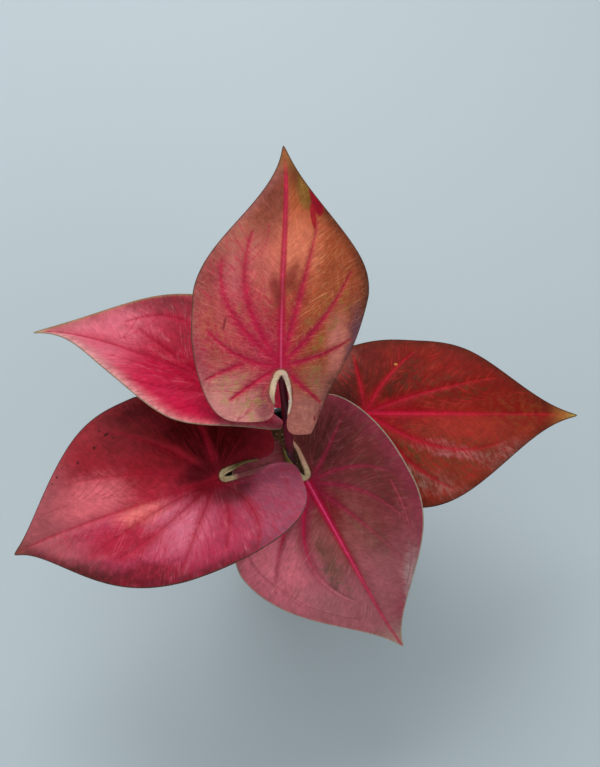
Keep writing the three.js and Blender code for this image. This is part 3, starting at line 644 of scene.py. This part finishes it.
def leafMaterial(title, leaf, look):  # living leaf: satin skin, colour that fans out from the stalk
    material, tree = newMaterial(title)
    source = {}
    for key in ("bladeU", "bladeV", "veinGap", "veinSide", "branchGap", "branchSide", "ribGap", "marginGap",
                "lipGap", "lipRun", "along", "across", "streakTurn", "streakRun"):
        source[key] = addNode(tree, "Attribute", None, {"attribute_name": key}).outputs["Fac"]
    place = addNode(tree, "CombineXYZ", {"X": source["bladeU"], "Y": source["bladeV"]})
    fanned = addNode(tree, "CombineXYZ",
                     {"X": source["streakTurn"], "Y": source["streakRun"], "Z": source["across"]})
    reach = addNode(tree, "VectorMath", {0: place}, {"operation": "LENGTH"}).outputs["Value"]
    turned = addNode(tree, "Math", {0: source["bladeV"], 1: source["bladeU"]}, {"operation": "ARCTAN2"})
    rays = addNode(tree, "CombineXYZ", {"X": turned, "Y": reach, "Z": source["across"]})
    clouds = {}
    shown = {}  # where the words of the layers and spots let them show
    for word, vector, stretch, detail, low, high in (
            ("ray", rays, (13, 0.03, 1), 4, 0.46, 0.66),  # rays from the stalk, 3 mm wide half way out
            ("mottle", place, (0.2, 0.24, 1), 5, 0.42, 0.62),  # patches 4 to 5 mm wide
            ("patch", place, (0.075, 0.09, 1), 4, 0.42, 0.6),  # areas 12 mm wide
            ("streak", fanned, (1.1, 0.07, 2), 4, 0.5, 0.78),  # streaks 0.9 mm wide and 14 mm long
            ("fibre", fanned, (0.8, 0.2, 2), 4, 0.3, 0.7),  # fibres 1.2 mm wide and 5 mm long
            ("grain", place, (1.6, 1.6, 1), 3, 0.3, 0.7)):  # 0.6 mm grain of the leaf skin
        sized = addNode(tree, "Mapping", {"Vector": vector, "Scale": stretch})
        clouds[word] = addNode(tree, "TexNoise",
                               {"Vector": sized, "Scale": 1.0, "Detail": detail, "Roughness": 0.6})
        shown[word] = addNode(tree, "MapRange",
                              {"Value": clouds[word], "From Min": low, "From Max": high}, smoothly)
    sized = addNode(tree, "Mapping", {"Vector": fanned, "Scale": (0.42, 0.2, 2)})
    cells = addNode(tree, "TexVoronoi", {"Vector": sized, "Scale": 1.0, "Randomness": 1.0},
                    {"feature": "DISTANCE_TO_EDGE"})
    lipWide = follow["lipWide"]
    for word, value, low, high, start, end in (
            ("net", cells.outputs["Distance"], 0.1, 0.01, 0, 1),  # net of cells 2 mm wide and 5 mm long
            ("between", clouds["ray"], 0.48, 0.32, 0, 1),  # gaps between the rays
            ("near", reach, 10, 115, 1, 0.2),  # fades away from the stalk
            ("far", reach, 30, 80, 0, 1),  # comes in away from the stalk
            ("lip", source["lipGap"], lipWide, lipWide - follow["lipSoft"], 0, 1),
            ("beside", source["lipGap"], lipWide + follow["lipShadeWidth"], lipWide, 0, 1)):  # painted shade just outside the lip, where its curl meets the blade
        shown[word] = addNode(tree, "MapRange", {"Value": value, "From Min": low, "From Max": high,
                                                 "To Min": start, "To Max": end}, smoothly)
    for word, low, high in (("left", -0.04, 0.04), ("right", 0.04, -0.04)):
        shown[word] = addNode(tree, "MapRange",
                              {"Value": source["across"], "From Min": low, "From Max": high})
    for key, slack, ragged in (("vein", 0.8, 1.1), ("branch", 1.4, 0.8)):
        line = addNode(tree, "Math", {0: source[key + "Side"]}, {"operation": "ABSOLUTE"})
        away = addNode(tree, "Math", {0: source[key + "Gap"], 1: slack}, {"operation": "SUBTRACT"})
        # the side keeps a thin line unbroken
        clean = addNode(tree, "Math", {0: line, 1: away}, {"operation": "MAXIMUM"})
        source[key + "Line"] = addNode(tree, "Math", {0: clouds["fibre"], 1: ragged, 2: clean}, multiplyAdd)
    wander = addNode(tree, "TexNoise", {"Vector": place, "Scale": 0.15, "Detail": 5})
    moved = place
    for cloud, reached in ((wander, 12), (clouds["fibre"], 8)):
        moved = addNode(tree, "VectorMath",
                        {0: cloud.outputs["Color"], 1: (reached, reached, 0), 2: moved}, multiplyAdd)
    # the noise is about a half, so half of it is taken back
    moved = addNode(tree, "VectorMath", {0: moved, 1: (10, 10, 0)}, {"operation": "SUBTRACT"})

    def layerMask(key, start, end, strength, colour, words=""):
        ramp = addNode(tree, "MapRange", {"Value": source[key], "From Min": start, "From Max": end,
                                          "To Max": strength}, smoothly)
        return ramp, colour, words

    def spotMask(where, u, v, reachU, reachV, turn, soft, strength, colour, words=""):
        centred = addNode(tree, "Mapping", {"Vector": where, "Location": (u, v, 0),
                                            "Rotation": (0, 0, math.radians(turn)),
                                            "Scale": (reachU, reachV, 1)}, {"vector_type": "TEXTURE"})
        away = addNode(tree, "VectorMath", {0: centred}, {"operation": "LENGTH"}).outputs["Value"]
        ramp = addNode(tree, "MapRange", {"Value": away, "From Min": 1 + soft / 3,
                                          "From Max": 1 - soft * 0.7, "To Max": strength}, smoothly)
        return ramp, colour, words

    masks = [layerMask(*layer) for layer in look["layers"]]
    masks += [spotMask(moved, *spot) for spot in look["spots"]]
    masks += [layerMask(*layer) for layer in look["veinLayers"]]
    masks += [spotMask(place, *spot) for spot in look["marks"]]
    masks += [layerMask("marginGap", 1.3, 0.3, 0.8, leaf["rim"])]
    masks += [layerMask("lipRun", *layer) for layer in leaf["lip"]]
    colourNow = srgb(look["colour"])
    for mask, colour, words in masks:
        for word in words.split():
            mask = addNode(tree, "Math", {0: mask, 1: shown[word]}, {"operation": "MULTIPLY"})
        colourNow = addNode(tree, "Mix", {0: mask, 6: colourNow, 7: srgb(colour)}, mixColours).outputs[2]
    skin = shown["streak"]
    for word, share in (("grain", 1.3), ("fibre", 1.5), ("mottle", 1.0), ("patch", 0.8)):
        skin = addNode(tree, "Math", {0: shown[word], 1: share, 2: skin}, multiplyAdd)
    shade = addNode(tree, "MapRange", {"Value": skin, "From Max": 4.8, "To Min": 0.7, "To Max": 1.32})
    shaded = addNode(tree, "VectorMath", {0: colourNow, "Scale": shade}, {"operation": "SCALE"})
    rough = addNode(tree, "MapRange",
                    {"Value": shown["grain"], "To Min": leaf["gloss"], "To Max": leaf["gloss"] + 0.12})
    sunken = addNode(tree, "MapRange",
                     {"Value": source["branchLine"], "From Min": 0.2, "From Max": 2.4}, smoothly)
    relief = addNode(tree, "Math", {0: sunken, 1: 1.6, 2: shown["grain"]}, multiplyAdd)
    netted = addNode(tree, "Math", {0: shown["net"], 1: -0.5, 2: relief}, multiplyAdd)
    bump = addNode(tree, "Bump", {"Height": netted, "Strength": 0.5, "Distance": 0.16 * mm})
    finishMaterial(tree, {"Base Color": shaded, "Roughness": rough, "Normal": bump,
                          "Specular IOR Level": 0.07})
    return material


# The lower face is dull and pale, and its veins are redder
underside = {
    "colour": "#a07a6e",
    "layers": [("along", 1.3, -0.3, 0.5, "#8f8560", "mottle")],
    "spots": [],
    "veinLayers": [
        ("along", 1.3, -0.3, 0.5, "#b08478", "streak"), ("veinLine", 4, 0.8, 0.6, "#8e4c4e"),
        ("branchLine", 1.8, 0.3, 0.45, "#8c4c4a"), ("ribGap", 3, 1, 0.8, "#7e3e3c"),
    ],
    "marks": [],
}


def bladeMesh(leaf, veins):
    bm = bmesh.new()
    layerU = bm.verts.layers.float.new("bladeU")
    layerV = bm.verts.layers.float.new("bladeV")
    for side, key in ((1, "left"), (-1, "right")):
        half = leaf[key]
        rows = bladeRows(leaf, half)
        steps = len(rows) - 1
        made = bmesh.ops.create_grid(bm, x_segments=blade["columns"], y_segments=steps, size=0.5)["verts"]
        flat = np.array([vert.co[:2] for vert in made]) + 0.5
        u = rows[np.rint(flat[:, 1] * steps).astype(int)]
        inner, outer = bladeEdges(leaf, half, u)
        v = inner + (outer - inner) * flat[:, 0] ** blade["columnEase"]
        gap = lineGap(u, side * v, veins)[0]
        groove = -blade["veinGroove"] * np.exp(-(gap / blade["grooveHalf"]) ** 2)
        inland = smooth((outer - v) / blade["pillowMargin"])
        pillow = blade["pillow"] * smooth(gap / blade["pillowReach"]) * inland
        relief = (groove + pillow) * smooth((v - inner) / blade["lipWidth"])
        points = bladePoints(leaf, side, u, v) + upwards(leaf, side, u, v) * relief[:, None]
        middle = v == 0
        both = [bladePoints(leaf, way, u[middle], v[middle]) for way in (1, -1)]
        points[middle] = (both[0] + both[1]) / 2
        for vert, point, alongRib, out in zip(made, points * mm, u, side * v):
            vert.co = point
            vert[layerU] = alongRib
            vert[layerV] = out
        if side > 0:
            bmesh.ops.reverse_faces(bm, faces=bm.faces[:])
    bmesh.ops.remove_doubles(bm, verts=bm.verts[:], dist=samePoint)
    bmesh.ops.dissolve_degenerate(bm, edges=bm.edges[:], dist=samePoint / 2)
    return meshFrom(bm, "blade_" + leaf["name"])


def makeBlade(leaf):
    veins = [veinLine(*vein) for vein in leaf["veins"]]
    branches = branchLines(leaf, veins)
    mesh = bladeMesh(leaf, veins)
    u, signed = np.zeros((2, len(mesh.vertices)))
    mesh.attributes["bladeU"].data.foreach_get("value", u)
    mesh.attributes["bladeV"].data.foreach_get("value", signed)
    v = np.abs(signed)
    isLeft = signed >= 0
    edges = [bladeEdges(leaf, leaf[key], u) for key in ("left", "right")]
    inner, outer = (np.where(isLeft, edges[0][i], edges[1][i]) for i in (0, 1))
    width, lobe = (np.where(isLeft, leaf["left"][key], leaf["right"][key]) for key in ("width", "lobe"))
    part = np.clip(u / leaf["length"], 0, 1)
    lipFade = smooth((u + lobe) / (blade["lipFade"] * lobe))
    lip = lipDistance(u, v, inner)[0] + follow["lipEnd"] * (1 - lipFade)
    lip = np.where(u > 0, lip + follow["lipAhead"] * u, lip)
    ribWidth = follow["ribHalf"] * (1 - follow["ribTaper"] * part) * (u > -blade["notchBack"]) + tiny
    beside, ahead = v + follow["fanBeside"], u + follow["fanBehind"]
    values = {
        "ribGap": np.minimum(v / ribWidth, follow["farthest"]), "marginGap": outer - v,
        "lipGap": np.minimum(lip, follow["farthest"]), "lipRun": -blade["notchBack"] - u,
        "along": u / leaf["length"], "across": signed / width,
        "streakTurn": np.arctan2(beside, ahead) * follow["fanTurn"], "streakRun": np.hypot(beside, ahead),
    }
    for key, lines in (("vein", veins), ("branch", branches)):
        values[key + "Gap"], values[key + "Side"] = lineGap(u, signed, lines)
    for key, value in values.items():
        mesh.attributes.new(key, "FLOAT", "POINT").data.foreach_set("value", value.astype(np.float32))

    towardsTip = np.clip(1 - u / leaf["length"], 0, 1) ** blade["midribTaper"]
    towardsNotch = np.clip(1 + u / (2 * blade["notchBack"]), 0, 1)
    ridge = np.where(u > 0, towardsTip, towardsNotch) * np.exp(-(v / blade["midribHalf"]) ** 2)
    lipPart = smooth((blade["lipWidth"] - lip) / blade["lipEase"]) * smooth((outer - v) / blade["marginEase"])
    thickness = blade["thickness"] + blade["midribDepth"] * ridge
    thickness = thickness + (blade["lipThickness"] - blade["thickness"]) * lipPart * (1 - ridge)
    most = thickness.max()
    upper = leafMaterial("Leaf skin " + leaf["name"], leaf, leaf)
    lower = leafMaterial("Leaf underside " + leaf["name"], leaf, underside)
    title = "leaf_" + leaf["name"]
    piece = newPiece(title, mesh, [upper, lower], "blade_" + leaf["name"])
    group = piece.vertex_groups.new(name="thickness")
    for i, weight in enumerate(thickness / most):
        group.add([i], float(weight), "REPLACE")
    shell = piece.modifiers.new("thickness", "SOLIDIFY")
    shell.thickness = most * mm
    shell.offset = -1
    shell.vertex_group = group.name
    shell.material_offset = 1
    return len(branches)


for leaf in leaves:
    print("leaf", leaf["name"], "with", makeBlade(leaf), "finer veins")

# Stalks: fleshy, with a shallow channel up one side near the foot
stalk = {
    "foot": 3.5, "top": 2.4, "sides": 20, "steps": 90, "channel": 0.2, "channelHalf": 0.45,
    "channelFade": 1.6, "endLength": 0.02, "endRadius": 1.3, "depth": 1.4, "nudge": 0.005,
}


def stalkMaterial():  # living petiole: moist skin, dark maroon above and greener at the foot
    material, tree = newMaterial("Petiole skin")
    run, around = (addNode(tree, "Attribute", None, {"attribute_name": key}).outputs["Fac"]
                   for key in ("run", "around"))
    place = addNode(tree, "CombineXYZ", {"X": around, "Y": run})
    stretched = addNode(tree, "Mapping", {"Vector": place, "Scale": (5, 14, 1)})
    flecks = addNode(tree, "TexNoise", {"Vector": stretched, "Scale": 1.0, "Detail": 4})
    fleck = addNode(tree, "MapRange", {"Value": flecks, "From Min": 0.45, "From Max": 0.62}, smoothly)
    rise = addNode(tree, "MapRange", {"Value": run, "From Min": 0.12, "From Max": 0.6}, smoothly)
    skin = addNode(tree, "Mix", {0: rise, 6: srgb("#766548"), 7: srgb("#641428")}, mixColours)
    marked = addNode(tree, "Mix", {0: fleck, 6: skin.outputs[2], 7: srgb("#3e0f1c")}, mixColours)
    bump = addNode(tree, "Bump", {"Height": flecks, "Strength": 0.3, "Distance": 0.2 * mm})
    finishMaterial(tree, {"Base Color": marked.outputs[2], "Roughness": 0.4, "Normal": bump,
                          "Specular IOR Level": 0.25})
    return material


def stalkLine(leaf):  # the curve's control points, from the tuber's bud to inside the midrib
    foot = Vector((*leaf["stalkFoot"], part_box("stalk_" + leaf["name"])[0].z / mm))
    normal = upwards(leaf, 1, np.zeros(1), np.zeros(1)) + upwards(leaf, -1, np.zeros(1), np.zeros(1))
    top = Vector(leaf["at"]) - Vector(normal[0]).normalized() * stalk["depth"]
    return foot, Vector(leaf["stalkVia"][0]), Vector(leaf["stalkVia"][1]) + Vector(leaf["at"]), top


def linePoint(line, t):
    s = 1 - t
    return s ** 3 * line[0] + 3 * s * s * t * line[1] + 3 * s * t * t * line[2] + t ** 3 * line[3]


def makeStalk(leaf, material):
    bm = bmesh.new()
    bmesh.ops.create_cone(bm, cap_ends=True, segments=stalk["sides"], radius1=1, radius2=1, depth=1)
    upright = [edge for edge in bm.edges if abs(edge.verts[0].co.z - edge.verts[1].co.z) > 0.5]
    bmesh.ops.subdivide_edges(bm, edges=upright, cuts=stalk["steps"], use_grid_fill=True)
    layerRun = bm.verts.layers.float.new("run")
    layerAround = bm.verts.layers.float.new("around")
    turn = math.radians(leaf["azimuth"])
    towardsTip = Vector((math.cos(turn), math.sin(turn), 0))
    line = stalkLine(leaf)
    for vert in bm.verts:
        t = vert.co.z + 0.5
        angle = math.atan2(vert.co.y, vert.co.x)
        centre, ahead, behind = (linePoint(line, min(max(t + nudge, 0), 1)) for nudge in
                                 (0, stalk["nudge"], -stalk["nudge"]))
        tangent = (ahead - behind).normalized() if t > tiny else Vector((0, 0, 1))
        across = tangent.cross(towardsTip).normalized()
        along = across.cross(tangent)
        radius = stalk["foot"] + (stalk["top"] - stalk["foot"]) * t
        nearEnd = min((1 - t) / stalk["endLength"], 1)
        radius = stalk["endRadius"] + (radius - stalk["endRadius"]) * math.sqrt(nearEnd)
        low = max(0, 1 - stalk["channelFade"] * t)
        radius *= 1 - stalk["channel"] * math.exp(-(angle / stalk["channelHalf"]) ** 2) * low
        vert.co = (centre + along * radius * math.cos(angle) + across * radius * math.sin(angle)) * mm
        vert[layerRun] = t
        vert[layerAround] = math.cos(angle)
    node = "stalk_" + leaf["name"]
    newPiece("petiole_" + leaf["name"], meshFrom(bm, node), [material], node)


petioleSkin = stalkMaterial()
for leaf in leaves:
    makeStalk(leaf, petioleSkin)
print("stalks")

# Pot: thin black polypropylene, moulded, with a rim band, a lip and drain holes round the foot
pot = {
    "shoulderRadius": 58.5, "baseRadius": 45, "rimRadius": 62, "wall": 1.4, "floor": 1.8, "rimHeight": 16,
    "lipHeight": 3, "step": 2, "cornerRise": 3, "rimDraft": 0.5, "edgeRound": 0.8, "sides": 128,
    "drainHoles": 8, "drainRadius": 4.2, "drainTilt": 45, "drainLength": 12, "drainInset": 1.5,
    "drainSides": 24, "weld": 0.2, "bevel": 0.3, "sharp": 35,
}


def potProfile():
    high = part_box("pot")[1]
    height, lip = high.z / mm, high.x / mm
    rimBottom, lipBottom = height - pot["rimHeight"], height - pot["lipHeight"]
    stepBottom, rimFoot = rimBottom - pot["step"], pot["rimRadius"] - pot["rimDraft"]
    flat, wall, edge = pot["baseRadius"] - pot["cornerRise"], pot["wall"], pot["edgeRound"]
    return [
        (0, 0), (flat, 0), (pot["baseRadius"], pot["cornerRise"]), (pot["shoulderRadius"], stepBottom),
        (rimFoot, rimBottom), (pot["rimRadius"], lipBottom), (lip, lipBottom + edge), (lip, height - edge),
        (lip - edge, height), (pot["rimRadius"] - wall, height), (rimFoot - wall, rimBottom + edge),
        (pot["shoulderRadius"] - wall, stepBottom + edge),
        (pot["baseRadius"] - wall, pot["cornerRise"] + edge), (flat, pot["floor"]), (0, pot["floor"]),
    ]


def potMesh():
    bm = bmesh.new()
    verts = [bm.verts.new((radius * mm, 0, z * mm)) for radius, z in potProfile()]
    edges = [bm.edges.new(pair) for pair in zip(verts, verts[1:])]
    bmesh.ops.spin(bm, geom=verts + edges, cent=(0, 0, 0), axis=(0, 0, 1), angle=2 * math.pi,
                   steps=pot["sides"], use_merge=True)
    bmesh.ops.remove_doubles(bm, verts=bm.verts[:], dist=samePoint)
    bmesh.ops.recalc_face_normals(bm, faces=bm.faces[:])
    body = newObject("body", meshFrom(bm, "pot"))

    cutter = bmesh.new()
    place = Matrix.Translation(((pot["baseRadius"] - pot["drainInset"]) * mm, 0, pot["drainInset"] * mm))
    tilt = Matrix.Rotation(math.radians(180 - pot["drainTilt"]), 4, "Y")
    for i in range(pot["drainHoles"]):
        turn = Matrix.Rotation(2 * math.pi * (i + 0.5) / pot["drainHoles"], 4, "Z")
        bmesh.ops.create_cone(cutter, cap_ends=True, segments=pot["drainSides"],
                              radius1=pot["drainRadius"] * mm, radius2=pot["drainRadius"] * mm,
                              depth=pot["drainLength"] * mm, matrix=turn @ place @ tilt)
    holes = newObject("drains", meshFrom(cutter, "drains"))
    cut = body.modifiers.new("drains", "BOOLEAN")
    cut.object = holes
    cut.solver = "EXACT"
    # Weld the slivers that the holes leave where they meet the foot
    welded = body.modifiers.new("slivers", "WELD")
    welded.merge_threshold = pot["weld"] * mm
    rounded = body.modifiers.new("edges", "BEVEL")
    rounded.width = pot["bevel"] * mm
    rounded.segments = 2
    rounded.limit_method = "ANGLE"
    rounded.angle_limit = math.radians(pot["sharp"])
    done = bpy.data.meshes.new_from_object(body.evaluated_get(bpy.context.evaluated_depsgraph_get()))
    for spare in (body, holes):
        bpy.data.objects.remove(spare)
    done.materials.clear()
    return done


def potMaterial():  # polypropylene: a satin moulded skin with fine spark texture, a little scuffed
    material, tree = newMaterial("Moulded polypropylene")
    place = addNode(tree, "TexCoord").outputs["Object"]
    skin = addNode(tree, "TexNoise", {"Vector": place, "Scale": 1400, "Detail": 2})
    scuff = addNode(tree, "TexNoise", {"Vector": place, "Scale": 45, "Detail": 6, "Roughness": 0.65})
    worn = addNode(tree, "MapRange", {"Value": scuff, "From Min": 0.5, "From Max": 0.78}, smoothly)
    colour = addNode(tree, "Mix", {0: worn, 6: srgb("#191a1c"), 7: srgb("#35332f")}, mixColours)
    rough = addNode(tree, "MapRange", {"Value": scuff, "To Min": 0.45, "To Max": 0.7})
    bump = addNode(tree, "Bump", {"Height": skin, "Strength": 0.3, "Distance": 0.1 * mm})
    finishMaterial(tree, {"Base Color": colour.outputs[2], "Roughness": rough, "Normal": bump,
                          "Specular IOR Level": 0.2})
    return material


potBody = newPiece("nursery_pot", potMesh(), [potMaterial()], "pot")
potBody.data.set_sharp_from_angle(angle=math.radians(pot["sharp"]))
print("pot")

# Potting mix: dark moist peat with bark crumbs and a little perlite
soil = {
    "seed": 7, "cuts": 3, "lump": 0.9, "lumpSize": 7, "lumpNoise": (0.8, 2.1, 4), "top": 96.5, "mound": 3,
    "upright": 0.6, "reach": 58, "stalkGap": 5.2, "dropFrom": 120, "batches": 22, "perBatch": 100,
    "perlite": 0.02, "sizes": (0.5, 1.9), "shrink": (0.6, 1), "widths": (0.6, 1), "heights": (0.4, 0.8),
    "tilts": (-0.5, 0.5), "turns": (0, 6.3), "uneven": (-0.2, 0.2), "lineSteps": 100, "lowSteps": 60,
}


def soilMaterial(title, dark, light, scale):
    material, tree = newMaterial(title)
    place = addNode(tree, "TexCoord").outputs["Object"]
    cloud = addNode(tree, "TexNoise", {"Vector": place, "Scale": scale, "Detail": 8, "Roughness": 0.7})
    tone = addNode(tree, "MapRange", {"Value": cloud, "From Min": 0.35, "From Max": 0.7}, smoothly)
    colour = addNode(tree, "Mix", {0: tone, 6: srgb(dark), 7: srgb(light)}, mixColours)
    bump = addNode(tree, "Bump", {"Height": cloud, "Strength": 0.8, "Distance": 0.5 * mm})
    finishMaterial(tree, {"Base Color": colour.outputs[2], "Roughness": 0.92, "Normal": bump,
                          "Specular IOR Level": 0.15})
    return material


def addCrumb(bm, draw, surface, feet):
    reach = soil["reach"] * mm * math.sqrt(draw.random())
    turn = draw.uniform(0, 2 * math.pi)
    x, y = reach * math.cos(turn), reach * math.sin(turn)
    size = mm * draw.uniform(*soil["sizes"]) * draw.uniform(*soil["shrink"])
    hit = surface.ray_cast(Vector((x, y, soil["dropFrom"] * mm)), Vector((0, 0, -1)))[0]
    nearStalk = any((Vector((x, y)) - foot.xy).length < soil["stalkGap"] * mm for foot in feet)
    if nearStalk or hit is None or hit.z < soil["top"] * mm:
        return
    flatten = Matrix.Diagonal((1, draw.uniform(*soil["widths"]), draw.uniform(*soil["heights"]), 1))
    spin = Euler([draw.uniform(*soil[key]) for key in ("tilts", "tilts", "turns")]).to_matrix()
    made = bmesh.ops.create_icosphere(bm, subdivisions=1, radius=size,
                                      matrix=Matrix.Translation(hit) @ spin.to_4x4() @ flatten)["verts"]
    isPerlite = draw.random() < soil["perlite"]
    for vert in made:
        vert.co += Vector([draw.uniform(*soil["uneven"]) * size for axis in range(3)])
        for face in vert.link_faces:
            face.material_index = 1 if isPerlite else 0


def soilFeet():  # where the stalks come out of the soil
    for leaf in leaves:
        line = stalkLine(leaf)
        points = [linePoint(line, step / soil["lineSteps"]) for step in range(soil["lowSteps"])]
        yield min(points, key=lambda point: abs(point.z - soil["top"] - soil["mound"])) * mm


def makeSoil():
    peat = soilMaterial("Moist peat", "#20130a", "#4a3018", 500)
    bark = soilMaterial("Bark crumb", "#2c1d13", "#6a4c33", 260)
    perlite = soilMaterial("Perlite", "#8f897c", "#cfcabd", 700)
    bm = bmesh.new()
    bm.from_mesh(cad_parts["soil"].data)
    bmesh.ops.remove_doubles(bm, verts=bm.verts[:], dist=samePoint)
    low = soil["top"] * mm
    top = [face for face in bm.faces
           if face.normal.z > soil["upright"] and face.calc_center_median().z > low]
    edges = list({edge for face in top for edge in face.edges})
    bmesh.ops.subdivide_edges(bm, edges=edges, cuts=soil["cuts"], use_grid_fill=True)
    bm.normal_update()
    for vert in bm.verts:
        if vert.co.z > low and vert.normal.z > soil["upright"]:
            lump = noise.fractal(vert.co / (soil["lumpSize"] * mm), *soil["lumpNoise"])
            vert.co.z += soil["lump"] * mm * lump
    bmesh.ops.triangulate(bm, faces=bm.faces[:])
    surface = BVHTree.FromBMesh(bm)
    newPiece("potting_mix", meshFrom(bm, "soil"), [peat], "soil")

    feet = list(soilFeet())
    draw = random.Random(soil["seed"])
    crumbs = bpy.data.meshes.new("crumbs")
    whole = bmesh.new()
    for batch in range(soil["batches"]):  # small batches, because each operator looks through its whole mesh
        bm = bmesh.new()
        for i in range(soil["perBatch"]):
            addCrumb(bm, draw, surface, feet)
        bm.to_mesh(crumbs)
        bm.free()
        whole.from_mesh(crumbs)
    whole.to_mesh(crumbs)
    whole.free()
    newPiece("soil_crumbs", crumbs, [bark, perlite])


makeSoil()
print("soil")

# Tuber: corky brown skin, under the soil
cork = soilMaterial("Tuber cork", "#4a3424", "#8a6a4a", 300)
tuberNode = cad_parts["tuber"]
tuberNode.data.materials.clear()
tuberNode.data.materials.append(cork)
